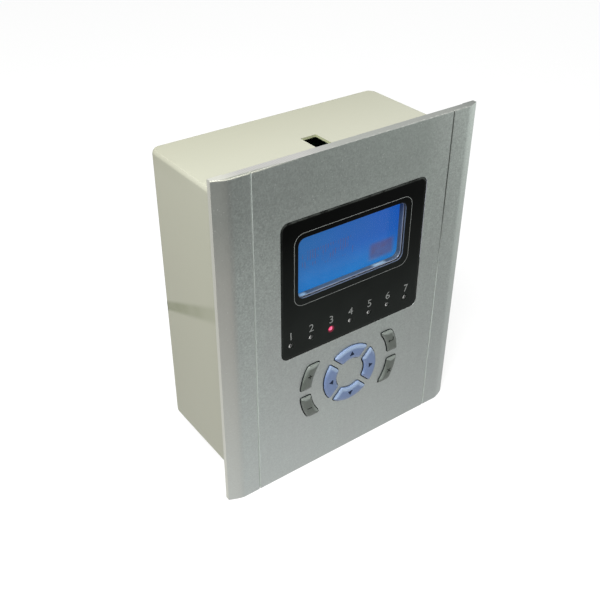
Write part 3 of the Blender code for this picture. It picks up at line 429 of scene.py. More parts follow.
def aluminium():
    """Sand-blasted, clear anodised aluminium, with bare sawn ends and milled openings, and painted light and
    shade on the ends, the openings' walls, the left wing's outer strip, the front top edge and the grooves.
    """
    made = Finish("sandblasted_aluminium", (0.51, 0.56, 0.525), 0.37, 1.0)
    x, y, z = made.axes()
    grain = made.noise(1100.0, 3.0, 0.7)
    coarse = made.noise(300.0, 3.0, 0.65)
    cloud = made.noise(38.0, 2.0, 0.5, made.scaled(1.0, 1.0, 0.45))
    made.vary(grain, 0.34, 0.66, 0.78, 1.22)
    made.tint(made.span(coarse, 0.35, 0.65, 0.0, 0.30), (0.44, 0.47, 0.45))
    made.tint(made.span(z, 0.16, 0.03, 0.0, 0.55), (0.50, 0.53, 0.52))
    made.tint(made.span(cloud, 0.3, 0.7, 0.0, 0.25), (0.49, 0.49, 0.49))
    # Painted reflection tone on the left wing's bent outer strip, stronger higher up
    outer_wing_reflection = made.every(made.span(x, -0.0750, -0.0785), made.span(z, 0.02, 0.12, 0.45, 0.85))
    made.tint(outer_wing_reflection, (0.525, 0.517, 0.476))
    shaded = made.every(made.span(z, 0.150, 0.185), made.span(x, 0.045, 0.062, 0.5, 0.0))
    made.tint(shaded, (0.35, 0.385, 0.36))
    sparkle = made.span(made.cells(620.0), 0.03, 0.16, 1.0, 0.0)
    upper = made.span(z, 0.03, 0.19, 0.35, 1.0)
    patches = made.math("MULTIPLY", made.span(coarse, 0.5, 0.6), upper)
    made.tint(made.math("MULTIPLY", sparkle, patches), (0.98, 1.0, 0.98))
    draw = made.noise(260.0, 2.0, 0.5, made.scaled(1.0, 1.0, 0.015))
    made.tint(made.span(draw, 0.45, 0.75, 0.0, 0.12), (0.42, 0.44, 0.43))
    depth = made.math("SUBTRACT", y, FACE_Y)
    cut = made.math("MAXIMUM", made.facing(2), made.facing(0))
    saw = made.waves(240.0, "X", 1.5)
    inner_part = made.every(
        made.near(x, 0.0, GROOVE_X - OPENINGS_FROM_GROOVE),
        made.near(z, PANEL_MIDDLE_Z, PANEL_MIDDLE_Z - OPENINGS_FROM_END))
    steep = made.span(z, ABOVE_KEYPAD_Z, ABOVE_KEYPAD_Z + 0.001, 0.6, 0.9)
    wall = made.math("LESS_THAN", made.math("ABSOLUTE", made.normal(1)), steep)
    openings = made.every(inner_part, wall, made.math("GREATER_THAN", depth, 0.00015))
    ends = made.every(cut, made.math("SUBTRACT", 1.0, openings))
    # Painted light and shade on the openings' walls
    made.tint(openings, opening_lining(made, x, z, depth))
    # Painted light and shade on the sawn ends
    made.tint(ends, sawn_end(made, x, depth, saw))
    # Painted highlight along the front top edge, on the left
    arris_highlight = made.every(
        made.span(z, PANEL_HIGH.z - 0.0008, PANEL_HIGH.z - 0.0004), made.span(x, -0.066, -0.035, 1.0, 0.0),
        made.math("LESS_THAN", made.normal(1), -0.25))
    made.tint(arris_highlight, (0.86, 0.86, 0.74))
    # Painted light in the grooves, and painted shade in the upper part of the right one
    groove = made.every(
        made.near(made.math("ABSOLUTE", x), GROOVE_X, GROOVE_HALF_WIDTH), made.near(depth, 0.001, 0.00097),
        made.near(z, PANEL_MIDDLE_Z, PANEL_MIDDLE_Z - 0.0005))
    shaded_right_groove = made.every(made.math("GREATER_THAN", x, 0.0), made.span(z, 0.10, 0.15))
    lit_groove = made.mix(made.span(z, 0.07, 0.14), (0.71, 0.76, 0.72), (0.58, 0.62, 0.59))
    made.tint(groove, made.mix(shaded_right_groove, lit_groove, (0.15, 0.165, 0.15)))
    bare = made.math("MAXIMUM", made.math("MAXIMUM", cut, groove), made.math("MAXIMUM", openings, arris_highlight))
    made.link(made.math("SUBTRACT", 1.0, made.math("MULTIPLY", bare, 0.6)), made.shader.inputs["Metallic"])
    made.roughen(grain, 0.3, 0.7, 0.34, 0.44)
    made.raise_by(grain, 0.24, 0.00015)
    made.raise_by(saw, 0.02, 0.0001)
    return made


def cream():
    """Cream moulded plastic with a fine eroded texture, painted shade towards the rear of the top, painted
    light on the clamp slot's rim and a painted soft shadow on the left side.
    """
    made = Finish("cream_moulding", (0.44, 0.44, 0.353), 0.48)
    texture = made.noise(1300.0, 3.0, 0.6)
    cloud = made.noise(22.0, 2.0, 0.5)
    made.vary(texture, 0.3, 0.7, 0.975, 1.02)
    made.tint(made.span(cloud, 0.35, 0.7, 0.0, 0.25), (0.417, 0.426, 0.339))
    x, y, z = made.axes()
    # Painted shade on the top, darker towards the rear
    rear_shade = made.span(y, HOUSING_LOW.y + 0.03, HOUSING_HIGH.y, 0.0, 0.5)
    made.tint(made.every(rear_shade, made.span(z, 0.18, 0.19)), (0.352, 0.352, 0.262))
    # Painted light on the clamp slot's rim and walls
    slot = made.every(
        made.near(x, SLOT_X, SLOT_WIDTH / 2 + SLOT_RIM), made.near(y, SLOT_Y, SLOT_LENGTH / 2 + SLOT_RIM),
        made.near(z, HOUSING_HIGH.z - 0.001, 0.0009))
    made.tint(slot, (0.46, 0.485, 0.30))
    # Painted soft shadow on the left side, from the front to the rear
    left = made.span(x, HOUSING_LOW.x + 0.0012, HOUSING_LOW.x + 0.0028, 1.0, 0.0)
    along = made.span(y, HOUSING_LOW.y + 0.015, HOUSING_HIGH.y)
    off = made.away(z, made.span(along, 0.0, 1.0, *SIDE_SHADOW_HEIGHTS))
    off = made.math("DIVIDE", off, made.span(along, 0.0, 1.0, *SIDE_SHADOW_HALF_WIDTHS))
    soft = made.span(off, 0.5, 1.45, 1.0, 0.0, True)
    wisps = made.span(made.noise(90.0, 3.0, 0.6), 0.3, 0.7, 0.75, 1.0)
    strength = made.math("MULTIPLY", wisps, made.span(along, 0.0, 1.0, 0.33, 0.86))
    made.tint(made.every(soft, strength, left), (0.215, 0.23, 0.14))
    # Painted shadow, darkest at the rear edge
    rear_edge = made.span(y, HOUSING_HIGH.y - 0.0046, HOUSING_HIGH.y - 0.0038, 0.0, 0.85)
    made.tint(made.every(soft, left, rear_edge), (0.06, 0.06, 0.055))
    made.roughen(texture, 0.3, 0.7, 0.42, 0.56)
    made.raise_by(texture, 0.18, 0.0001)
    made.raise_by(cloud, 0.05, 0.0006)
    return made


def film():
    """Semi-gloss black printed film, with a patchy painted highlight along its upper edge, painted light
    towards the bottom and on its cut edge round the window, and a painted red glow round the lit lamp.
    """
    made = Finish("black_printed_film", (0.0008, 0.0011, 0.0009), 0.22)
    made.shader.inputs["Specular IOR Level"].default_value = 0.075
    orange_peel = made.noise(900.0, 2.0, 0.5)
    x, y, z = made.axes()
    edge = rectangle_distance(
        made, x, z, (OVERLAY_HIGH.x - OVERLAY_LOW.x) / 2, (OVERLAY_HIGH.z - OVERLAY_LOW.z) / 2,
        OVERLAY_CORNER, (OVERLAY_HIGH.x + OVERLAY_LOW.x) / 2, (OVERLAY_HIGH.z + OVERLAY_LOW.z) / 2)
    hole = rectangle_distance(
        made, x, z, WINDOW_WIDTH / 2, WINDOW_HEIGHT / 2, WINDOW_CORNER, WINDOW_X, WINDOW_Z)
    # Painted light: lighter towards the bottom
    made.tint(made.span(z, OVERLAY_HIGH.z - 0.010, OVERLAY_LOW.z + 0.012), (0.0155, 0.0185, 0.0165))
    made.tint(made.span(made.noise(60.0), 0.4, 0.7, 0.0, 0.25), (0.004, 0.0045, 0.004))
    # Painted highlight along the upper edge, broken up in patches
    rim = made.span(edge, -0.0016, -0.0008)
    patchy = made.span(made.noise(240.0, 4.0, 0.7), 0.36, 0.52, 0.15, 1.0)
    upper = made.span(z, OVERLAY_HIGH.z - 0.004, OVERLAY_HIGH.z - 0.001, 0.2, 1.0)
    made.tint(made.every(rim, upper, patchy), (0.060, 0.066, 0.060))
    # Painted light on the film's cut edge round the window, paler towards the back
    thickness = made.span(y, OVERLAY_LOW.y + 0.0001, OVERLAY_HIGH.y)
    lit_edge_colour = made.mix(thickness, (0.07, 0.09, 0.13), (0.20, 0.24, 0.33))
    made.tint(made.math("LESS_THAN", hole, 0.00013), lit_edge_colour)
    made.roughen(orange_peel, 0.3, 0.7, 0.18, 0.26)
    lit_x = LAMP_X + LAMP_PITCH * (LIT_LAMP - 1)
    away = made.length(made.math("SUBTRACT", x, lit_x), made.math("SUBTRACT", z, LAMP_Z))
    halo = made.span(away, 0.0013, 0.0025, 1.0, 0.0, True)
    made.glow(made.mix(halo, (0.0, 0.0, 0.0), (0.30, 0.012, 0.05)), 1.0)
    made.raise_by(orange_peel, 0.06, 0.0001)
    return made


def screen():
    """Lit blue liquid crystal display: dot grid, uneven backlight, strokes and a soft block of dots."""
    made = Finish("blue_display", (0.01, 0.03, 0.1), 0.22)
    x, _, z = made.axes()
    u = made.span(x, WINDOW_X - WINDOW_WIDTH / 2, WINDOW_X + WINDOW_WIDTH / 2)
    v = made.span(z, WINDOW_SILL_Z, WINDOW_Z + WINDOW_HEIGHT / 2)
    lit = made.mix(made.span(u, 0.0, 1.0, 0.0, 1.0, True), (0.016, 0.155, 0.47), (0.008, 0.115, 0.58))
    lower = made.mix(made.span(v, 0.0, 0.55, 1.0, 0.0, True), lit, (0.020, 0.230, 0.67))
    cloudy = made.mix(made.span(made.noise(45.0, 2.0), 0.35, 0.7, 0.0, 0.35), lower, (0.018, 0.135, 0.44))
    columns = made.dashes(x, DOT_PITCH, DOT_GAP_SHARE)
    rows = made.dashes(z, DOT_PITCH, DOT_GAP_SHARE)
    gaps = made.math("MAXIMUM", columns, rows)
    grid = made.mix(made.math("MULTIPLY", gaps, 0.16), cloudy, (0.02, 0.08, 0.30))
    uprights = made.every(made.dashes(x, LETTER_PITCH, 0.4), made.span(made.noise(230.0, 1.0), 0.45, 0.58))
    words = made.every(made.between(x, *WORDS_X), made.between(z, *WORDS_Z), uprights)
    block = made.every(
        made.span(made.away(x, BLOCK_X), 0.0062, 0.0108, 1.0, 0.0, True),
        made.span(made.away(z, BLOCK_Z), 0.0034, 0.0068, 1.0, 0.0, True))
    drawn = made.math("ADD", made.math("MULTIPLY", words, 0.5), made.math("MULTIPLY", block, 0.70))
    faded = made.every(drawn, made.span(made.noise(300.0, 2.0), 0.3, 0.7, 0.7, 1.0))
    shown = made.mix(faded, grid, (0.118, 0.062, 0.11))
    made.glow(shown, 0.80)
    dim = made.mix(0.85, shown, (0.0, 0.0, 0.0))
    made.link(dim, made.shader.inputs["Base Color"])
    made.raise_by(gaps, 0.02, 0.00005)
    return made


def plain_plastic(name, colour, roughness):
    """Moulded plastic with a fine texture, faint clouds of colour and uneven gloss."""
    made = Finish(name, colour, roughness)
    texture = made.noise(1200.0, 3.0, 0.6)
    made.vary(texture, 0.3, 0.7, 0.95, 1.04)
    made.tint(made.span(made.noise(72.0), 0.4, 0.7, 0.0, 0.3), tuple(c * 0.93 for c in colour))
    made.roughen(texture, 0.3, 0.7, roughness - 0.05, roughness + 0.07)
    made.raise_by(texture, 0.12, 0.00008)
    return made


def key_plastic(name, colour, highlight_colour, upper_gap_shade):
    """Satin key plastic, with a painted highlight on its upper slopes and painted shade in the gap at its
    foot, by a given share on its upper side.
    """
    made = plain_plastic(name, colour, 0.38)
    upward = made.normal(2)
    slope = made.math("SQRT", made.math("SUBTRACT", 1.0, made.math("POWER", made.normal(1), 2.0)))
    above = made.math("DIVIDE", upward, made.math("MAXIMUM", slope, 0.01))
    # Painted highlight on the upper slopes, broken up a little
    made.tint(made.every(
        made.span(above, 0.25, 0.65), made.span(upward, 0.03, 0.12), made.span(upward, 0.35, 0.75, 1.0, 0.35),
        made.span(made.noise(500.0), 0.2, 0.6, 0.8, 1.0)), highlight_colour)
    # Painted shade in the gap at the foot; on the upper side by the given share
    gap_shade = made.span(made.axes()[1], FACE_Y - 0.0005, FACE_Y - 0.0001)
    made.tint(made.every(gap_shade, made.span(above, 0.4, 0.8, 1.0, upper_gap_shade)), (0.010, 0.012, 0.016))
    return made


def board():
    """Green circuit board: faint copper tracks under the mask, and the glass weave at the edges."""
    made = Finish("circuit_board", (0.012, 0.12, 0.045), 0.38)
    track = made.tree.nodes.new("ShaderNodeTexBrick")
    track.offset = 0.37
    made.link(made.scaled(1.0, 1.0, 1.0, (math.pi / 2, 0.0, 0.0)), track.inputs["Vector"])
    track.inputs["Scale"].default_value = 190.0
    track.inputs["Mortar Size"].default_value = 0.045
    track.inputs["Color1"].default_value = (0.010, 0.10, 0.038, 1.0)
    track.inputs["Color2"].default_value = (0.013, 0.13, 0.05, 1.0)
    track.inputs["Mortar"].default_value = (0.035, 0.21, 0.085, 1.0)
    made.link(track.outputs["Color"], made.shader.inputs["Base Color"])
    made.colour_out = track.outputs["Color"]
    pads = made.span(made.cells(330.0), 0.10, 0.16, 1.0, 0.0)
    made.tint(made.math("MULTIPLY", pads, 0.55), (0.55, 0.55, 0.50))
    made.roughen(made.noise(700.0), 0.3, 0.7, 0.3, 0.46)
    made.raise_by(track.outputs["Fac"], 0.1, 0.00006)
    return made


def metal(name, colour, roughness):
    """Plated steel with fine brushed lines."""
    made = Finish(name, colour, roughness, 1.0)
    lines = made.noise(500.0, 3.0, 0.6, made.scaled(0.15, 1.0, 1.0))
    made.vary(lines, 0.3, 0.7, 0.88, 1.1)
    made.roughen(lines, 0.3, 0.7, roughness - 0.06, roughness + 0.1)
    made.raise_by(lines, 0.1, 0.00006)
    return made


def pane():
    """Clear, slightly hazy window sheet."""
    made = Finish("clear_window", (0.10, 0.11, 0.12), 0.06)
    made.shader.inputs["Alpha"].default_value = 0.05
    made.shader.inputs["IOR"].default_value = 1.49
    haze = made.noise(120.0, 4.0, 0.7)
    made.vary(haze, 0.3, 0.7, 0.9, 1.1)
    made.roughen(haze, 0.4, 0.8, 0.04, 0.12)
    return made


def lamp(name, colour, glow):
    """Clear resin lamp: painted shade over an unlit lamp's right part leaves a pale crescent on its left."""
    made = Finish(name, colour, 0.14)
    heart = made.noise(900.0, 2.0)
    x, _, z = made.axes()
    pitches = made.math("DIVIDE", made.math("SUBTRACT", x, LAMP_X), LAMP_PITCH)
    aside = made.math("SUBTRACT", made.math("FRACT", made.math("ADD", pitches, 0.5)), 0.5)
    across = made.math("SUBTRACT", made.math("MULTIPLY", aside, LAMP_PITCH), 0.00060)
    shadow = made.length(across, made.math("SUBTRACT", z, LAMP_Z + 0.00005))
    made.vary(heart, 0.35, 0.65, 0.8, 1.2)
    made.raise_by(made.noise(1500.0), 0.05, 0.00005)
    made.shader.inputs["Coat Weight"].default_value = 0.6
    if glow:
        rim = made.mix(made.span(heart, 0.35, 0.65), (0.52, 0.03, 0.10), (0.75, 0.06, 0.16))
        made.glow(made.mix(made.span(shadow, 0.0004, 0.0013, 1.0, 0.0), rim, (1.0, 0.17, 0.33)), glow)
    else:
        # Painted shade over the unlit lamp's right part
        made.tint(made.span(shadow, 0.0011, 0.0014, 1.0, 0.0), (0.03, 0.03, 0.03))
    return made


def laminated():
    """Stacked core sheets of a transformer under thin varnish."""
    made = Finish("laminated_core", (0.10, 0.09, 0.09), 0.5, 0.5)
    sheets = made.waves(900.0, "X")
    made.vary(sheets, 0.2, 0.8, 0.7, 1.3)
    made.roughen(sheets, 0.2, 0.8, 0.42, 0.6)
    made.raise_by(sheets, 0.3, 0.0001)
    return made


def ribbon():
    """Grey flat cable: moulded wires side by side, the first one marked red."""
    made = Finish("grey_ribbon", (0.34, 0.34, 0.35), 0.5)
    wires = made.waves(250.0, "Z")
    made.vary(wires, 0.1, 0.9, 0.8, 1.1)
    made.tint(made.math("GREATER_THAN", made.axes()[2], 0.1362), (0.45, 0.05, 0.04))
    made.roughen(wires, 0.1, 0.9, 0.45, 0.55)
    made.raise_by(wires, 0.5, 0.0004)
    return made


def ink(name, colour):
    """Printed ink, slightly uneven."""
    made = Finish(name, colour, 0.6)
    made.shader.inputs["Specular IOR Level"].default_value = 0.2
    spots = made.noise(2200.0, 2.0)
    made.vary(spots, 0.3, 0.7, 0.8, 1.15)
    made.raise_by(spots, 0.05, 0.00003)
    return made


FINISHES = {
    "anodised_aluminium": aluminium(),
    "cream_plastic": cream(),
    "black_film": film(),
    "clear_pane": pane(),
    "steel": metal("zinc_plated_steel", (0.58, 0.59, 0.61), 0.3),
    "lcd_glass": screen(),
    "white_plastic": plain_plastic("milky_plastic", (0.78, 0.78, 0.75), 0.35),
    "green_board": board(),
    "lit_lamp": lamp("lit_red_lamp", (0.9, 0.06, 0.15), 1.1),
    "dark_lamp": lamp("dark_lamp", (0.62, 0.62, 0.60), 0.0),
    "blue_key": key_plastic("blue_key_plastic", (0.172, 0.243, 0.430), (0.32, 0.42, 0.585), 0.45),
    "grey_key": key_plastic("grey_key_plastic", (0.116, 0.133, 0.115), (0.26, 0.29, 0.265), 1.0),
    "black_plastic": plain_plastic("black_moulding", (0.018, 0.018, 0.02), 0.45),
    "green_plastic": plain_plastic("green_terminal_plastic", (0.02, 0.26, 0.10), 0.42),
    "blue_relay": plain_plastic("blue_relay_case", (0.03, 0.10, 0.34), 0.35),
    "laminated_core": laminated(),
    "grey_cable": ribbon(),
}
GREY_INK = ink("grey_print", (0.225, 0.235, 0.225))
WHITE_INK = ink("pale_print", (0.27, 0.28, 0.27))
NAVY_INK = ink("navy_print", (0.003, 0.012, 0.040))
DARK_INK = ink("dark_print", (0.016, 0.019, 0.015))


def repaint():
    """Give every node of the frame the finish of its material slot."""
    for node in NODES.values():
        for entry in node.material_slots:
            name = entry.material.name.split(".")[0]
            entry.material = FINISHES[name].material
        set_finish(node, name)


def add_piece(name, shape, finish, body, slot):
    """Turn a bmesh in the frame's coordinates into a piece that rides on a body."""
    mesh = bpy.data.meshes.new(name)
    shape.to_mesh(mesh)
    shape.free()
    item = bpy.data.objects.new(name, mesh)
    bpy.context.scene.collection.objects.link(item)
    mesh.materials.append(finish.material)
    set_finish(item, slot)
    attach(item, body)
    return item


def soften(node_name, width, reshape=None):
    """A copy of a frame node with its sharp edges rounded, which stands in for the node."""
    node = NODES[node_name]
    shape = bmesh.new()
    shape.from_mesh(node.data)
    bmesh.ops.remove_doubles(shape, verts=shape.verts, dist=WELD)
    bmesh.ops.dissolve_limit(shape, angle_limit=FLAT_ANGLE, verts=shape.verts, edges=shape.edges)
    if reshape:
        reshape(shape)
    name = node_name + "_finished"
    item = add_piece(name, shape, FINISHES[node["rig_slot"]], node["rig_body"], node["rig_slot"])
    step = item.modifiers.new("edges", "BEVEL")
    step.width = width
    step.segments = 2
    step.limit_method = "ANGLE"
    step.angle_limit = SHARP_ANGLE
    step.harden_normals = True
    item.data.shade_smooth()
    item.data.set_sharp_from_angle(angle=SHARP_ANGLE)
    even = item.modifiers.new("even_shading", "WEIGHTED_NORMAL")
    even.keep_sharp = True
    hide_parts(node_name)


def join_rings(shape, rings):
    """Walls between rings of vertices, each ring joined to the one after it."""
    for near, far in zip(rings, rings[1:]):
        for i in range(len(near)):
            j = (i + 1) % len(near)
            shape.faces.new((near[i], near[j], far[j], far[i]))


def loft(shape, rings):
    """Closed body through rings of vertices, with a flat face at either end."""
    join_rings(shape, rings)
    shape.faces.new(rings[0])
    shape.faces.new(list(reversed(rings[-1])))


def circle(shape, x, y, z, radius, steps):
    """Ring of vertices round an axis along Y."""
    turns = [math.tau * i / steps for i in range(steps)]
    return [shape.verts.new((x + radius * math.cos(turn), y, z + radius * math.sin(turn))) for turn in turns]


def rounded_outline(half_w, half_h, radius, x, z):
    """Points of a rounded rectangle in the XZ plane."""
    points = []
    for quarter, (side_x, side_z) in enumerate(((1, 1), (-1, 1), (-1, -1), (1, -1))):
        for step in range(CORNER_STEPS + 1):
            turn = math.pi / 2 * (quarter + step / CORNER_STEPS)
            points.append((x + side_x * (half_w - radius) + radius * math.cos(turn),
                           z + side_z * (half_h - radius) + radius * math.sin(turn)))
    return points


def ring_key(turn):
    """Measures of an arrow key, whose middle lies at a turn round the keypad's centre."""
    return {"turns": (turn - 45, turn + 45), "spaces": (RING_SPACE, RING_SPACE),
            "corners": (KEY_CORNER, KEY_CORNER), "radii": RING_RADII, "middle": turn, "stem": turn}


def side_key(name):
    """Measures of a key beside the ring: one end beside a spoke, the other cut off level."""
    turn = SIDE_TURNS[name]
    spoke = 0 if abs(turn) < 90 else 180
    spaces, corners = [SIDE_SPACE, -SIDE_END_HEIGHT], [KEY_CORNER, SIDE_END_CORNER]
    if turn < spoke:
        spaces.reverse()
        corners.reverse()
    return {"turns": (spoke, spoke), "spaces": spaces, "corners": corners, "radii": SIDE_RADII,
            "middle": turn, "stem": spoke + math.copysign(SIDE_STEM_TURN, turn - spoke)}


KEYS = {
    "right": ring_key(0), "up": ring_key(90), "left": ring_key(180), "down": ring_key(270),
    "enter": side_key("enter"), "cancel": side_key("cancel"),
    "plus": side_key("plus"), "minus": side_key("minus"),
}


def key_outline(key, inset):
    """Outline of an arc-shaped key in the XZ plane, drawn inwards by an inset, with round corners."""
    low_turn, high_turn = KEYS[key]["turns"]
    low_space, high_space = KEYS[key]["spaces"]
    inner = KEYS[key]["radii"][0] + inset
    outer = KEYS[key]["radii"][1] - inset
    most = KEY_CORNER_MOST * (outer - inner)
    low_corner, high_corner = (
        min(max(size - inset, size * KEY_CORNER_LEAST), most) for size in KEYS[key]["corners"])

    def on(radius, turn):
        return Vector((KEYPAD_X + radius * math.cos(turn), KEYPAD_Z + radius * math.sin(turn)))

    def low(radius):
        return math.radians(low_turn) + math.asin((low_space + inset) / radius)

    def high(radius):
        return math.radians(high_turn) - math.asin((high_space + inset) / radius)

    points = []

    def arc(radius, start, end):
        points.extend(on(radius, start + (end - start) * i / ARC_STEPS) for i in range(ARC_STEPS + 1))

    def corner_curve(before, tip, after):
        for t in (0.2, 0.4, 0.6, 0.8):
            points.append(before * (1 - t) ** 2 + tip * 2 * t * (1 - t) + after * t ** 2)

    near, far = low(outer) + low_corner / outer, high(outer) - high_corner / outer
    arc(outer, near, far)
    corner_curve(on(outer, far), on(outer, high(outer)), on(outer - high_corner, high(outer - high_corner)))
    points.append(on(outer - high_corner, high(outer - high_corner)))
    points.append(on(inner + high_corner, high(inner + high_corner)))
    low_blunt, high_blunt = (SIDE_END_BLUNT if space < 0 else 1.0 for space in (low_space, high_space))
    near, far = high(inner) - high_blunt * high_corner / inner, low(inner) + low_blunt * low_corner / inner
    corner_curve(points[-1], on(inner, high(inner)), on(inner, near))
    arc(inner, near, far)
    corner_curve(points[-1], on(inner, low(inner)), on(inner + low_corner, low(inner + low_corner)))
    points.append(on(inner + low_corner, low(inner + low_corner)))
    points.append(on(outer - low_corner, low(outer - low_corner)))
    corner_curve(points[-1], on(outer, low(outer)), points[0])
    return points


def nearest_on(outline, place):
    """The point of a closed outline that lies nearest to a place."""
    best = None
    for start, end in zip(outline, outline[1:] + outline[:1]):
        along = end - start
        part = (place - start).dot(along) / max(along.length_squared, 1e-12)
        found = start + along * min(max(part, 0.0), 1.0)
        if best is None or (found - place).length < (best - place).length:
            best = found
    return best


def round_openings(shape):
    """Draw the level ends of the side keys' openings in to the rounder ends of the keys."""
    for key in SIDE_TURNS:
        outline = key_outline(key, -KEY_GAP)
        side = 1 if abs(SIDE_TURNS[key]) < 90 else -1
        level = math.copysign(SIDE_END_HEIGHT, math.sin(math.radians(SIDE_TURNS[key])))
        middle = Vector((KEYPAD_X + side * SIDE_END_X, KEYPAD_Z + level))
        for vertex in shape.verts:
            place = Vector((vertex.co.x, vertex.co.z))
            if vertex.co.y < FACE_Y + OPENING_DEPTH and (place - middle).length < SIDE_END_REACH:
                vertex.co.x, vertex.co.z = nearest_on(outline, place)


def make_key(key):
    """Pillow-shaped arc key with its flange and its stem, which stands in for the frame's key."""
    node = NODES["key_" + key]
    _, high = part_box("key_" + key)
    flange = FACE_Y + FLANGE_DEPTH
    sections = [(FACE_Y - KEY_RISE + fall, inset) for inset, fall in KEY_DOME]
    sections += [(flange - 0.0002, 0.0), (flange, 0.0)]
    sections += [(flange, -KEY_FLANGE_WIDTH), (flange + KEY_FLANGE_THICKNESS, -KEY_FLANGE_WIDTH)]
    shape = bmesh.new()
    loft(shape, [[shape.verts.new((p.x, y, p.y)) for p in key_outline(key, inset)] for y, inset in sections])
    turn = math.radians(KEYS[key]["stem"])
    from_centre = sum(KEYS[key]["radii"]) / 2
    x = KEYPAD_X + from_centre * math.cos(turn)
    z = KEYPAD_Z + from_centre * math.sin(turn)
    stem = (
        (flange + 0.001, STEM_RADIUS), (high.y - STEM_CHAMFER, STEM_RADIUS),
        (high.y, STEM_RADIUS - STEM_CHAMFER))
    loft(shape, [circle(shape, x, y, z, radius, STEM_STEPS) for y, radius in stem])
    bmesh.ops.recalc_face_normals(shape, faces=shape.faces)
    item = add_piece("key_cap_" + key, shape, FINISHES[node["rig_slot"]], "key_" + key, node["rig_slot"])
    item.data.shade_smooth()
    item.data.set_sharp_from_angle(angle=math.radians(40))
    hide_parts("key_" + key)


def make_lamp(index):
    """Full, round lamp dome with its flange and legs, which stands in for the frame's lamp."""
    name = f"led_{index}"
    node = NODES[name]
    low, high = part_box(name)
    x, z = (low.x + high.x) / 2, (low.z + high.z) / 2
    profile = []
    for step in range(DOME_STEPS + 1):
        turn = math.radians(90 * step / DOME_STEPS)
        profile.append((low.y + LAMP_DOME * (1 - math.cos(turn)),
                        max(LAMP_RADIUS * math.sin(turn) ** 0.7, LAMP_TIP_RADIUS)))
    flange = FACE_Y + FLANGE_DEPTH
    profile += [(flange - 0.0003, LAMP_RADIUS), (flange, LAMP_RADIUS)]
    profile += [(flange, LAMP_FLANGE_RADIUS), (flange + LAMP_FLANGE_THICKNESS, LAMP_FLANGE_RADIUS)]
    shape = bmesh.new()
    loft(shape, [circle(shape, x, y, z, radius, LAMP_STEPS) for y, radius in profile])
    leg_start = flange + LAMP_FLANGE_THICKNESS / 2
    for side in (-LEG_SIDE, LEG_SIDE):
        leg = bmesh.ops.create_cube(shape, size=1.0)["verts"]
        bmesh.ops.scale(shape, vec=(LEG_THICKNESS, high.y - leg_start, LEG_THICKNESS), verts=leg)
        bmesh.ops.translate(shape, vec=(x + side, (high.y + leg_start) / 2, z), verts=leg)
    bmesh.ops.recalc_face_normals(shape, faces=shape.faces)
    item = add_piece("lamp_" + str(index), shape, FINISHES[node["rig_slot"]], "relay", node["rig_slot"])
    item.data.shade_smooth()
    item.data.set_sharp_from_angle(angle=math.radians(45))
    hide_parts(name)


def printed(name, outlines, front, finish, body, slot):
    """Flat printed shapes, each a closed outline in the XZ plane, a hair proud of a surface."""
    shape = bmesh.new()
    for outline in outlines:
        levels = (front - PRINT, front + PRINT)
        loft(shape, [[shape.verts.new((x, y, z)) for x, z in outline] for y in levels])
    bmesh.ops.recalc_face_normals(shape, faces=shape.faces)
    add_piece(name, shape, finish, body, slot)


def printed_ring(name, outer, inner, front, finish, body, slot):
    """Printed line between two closed outlines with as many points."""
    near, far = front - PRINT, front + PRINT
    shape = bmesh.new()
    rings = []
    for outline, y in ((outer, near), (inner, near), (inner, far), (outer, far)):
        rings.append([shape.verts.new((x, y, z)) for x, z in outline])
    join_rings(shape, rings + rings[:1])
    bmesh.ops.recalc_face_normals(shape, faces=shape.faces)
    add_piece(name, shape, finish, body, slot)


def number(text, x, z, height, front):
    """A printed number from Blender's built-in font, with the font's flat faces filled anew."""
    curve = bpy.data.curves.new("number_" + text, "FONT")
    curve.body = text
    curve.size = height / CAPITALS_SHARE
    curve.align_x = "CENTER"
    curve.extrude = PRINT
    drawn = bpy.data.objects.new("drawn_" + text, curve)
    mesh = bpy.data.meshes.new_from_object(drawn)
    shape = bmesh.new()
    shape.from_mesh(mesh)
    bpy.data.objects.remove(drawn)
    bpy.data.curves.remove(curve)
    bpy.data.meshes.remove(mesh)
    bmesh.ops.remove_doubles(shape, verts=shape.verts, dist=WELD)
    flats = [face for face in shape.faces if abs(face.normal.z) > 0.9 or face.calc_area() < TINY_AREA]
    rims = []
    for level in (-PRINT, PRINT):
        rims.append([edge for edge in shape.edges
                     if all(abs(vertex.co.z - level) < 1e-7 for vertex in edge.verts)
                     and sum(face not in flats for face in edge.link_faces) == 1])
    bmesh.ops.delete(shape, geom=flats, context="FACES_ONLY")
    for rim in rims:
        bmesh.ops.triangle_fill(shape, use_beauty=True, use_dissolve=False, edges=rim)
    upright = Matrix.Translation((x, front, z)) @ Matrix.Rotation(math.pi / 2, 4, "X")
    bmesh.ops.transform(shape, matrix=upright, verts=shape.verts)
    bmesh.ops.recalc_face_normals(shape, faces=shape.faces)
    add_piece("number_" + text, shape, WHITE_INK, "relay", "black_film")


def keypad_turned(points, turn, radius):
    """Points drawn upright about (0, 0), moved out to a radius and turned round the keypad's centre."""
    spin = math.radians(turn - 90)
    placed = []
    for x, z in points:
        out = z + radius
        placed.append((KEYPAD_X + x * math.cos(spin) - out * math.sin(spin),
                       KEYPAD_Z + x * math.sin(spin) + out * math.cos(spin)))
    return placed


def bar(length, width, angle=0.0, x=0.0, z=0.0):
    """A plain stroke as an outline."""
    c, s = math.cos(math.radians(angle)), math.sin(math.radians(angle))
    half_l, half_w = length / 2, width / 2
    corners = ((-half_l, -half_w), (half_l, -half_w), (half_l, half_w), (-half_l, half_w))
    return [(x + a * c - b * s, z + a * s + b * c) for a, b in corners]


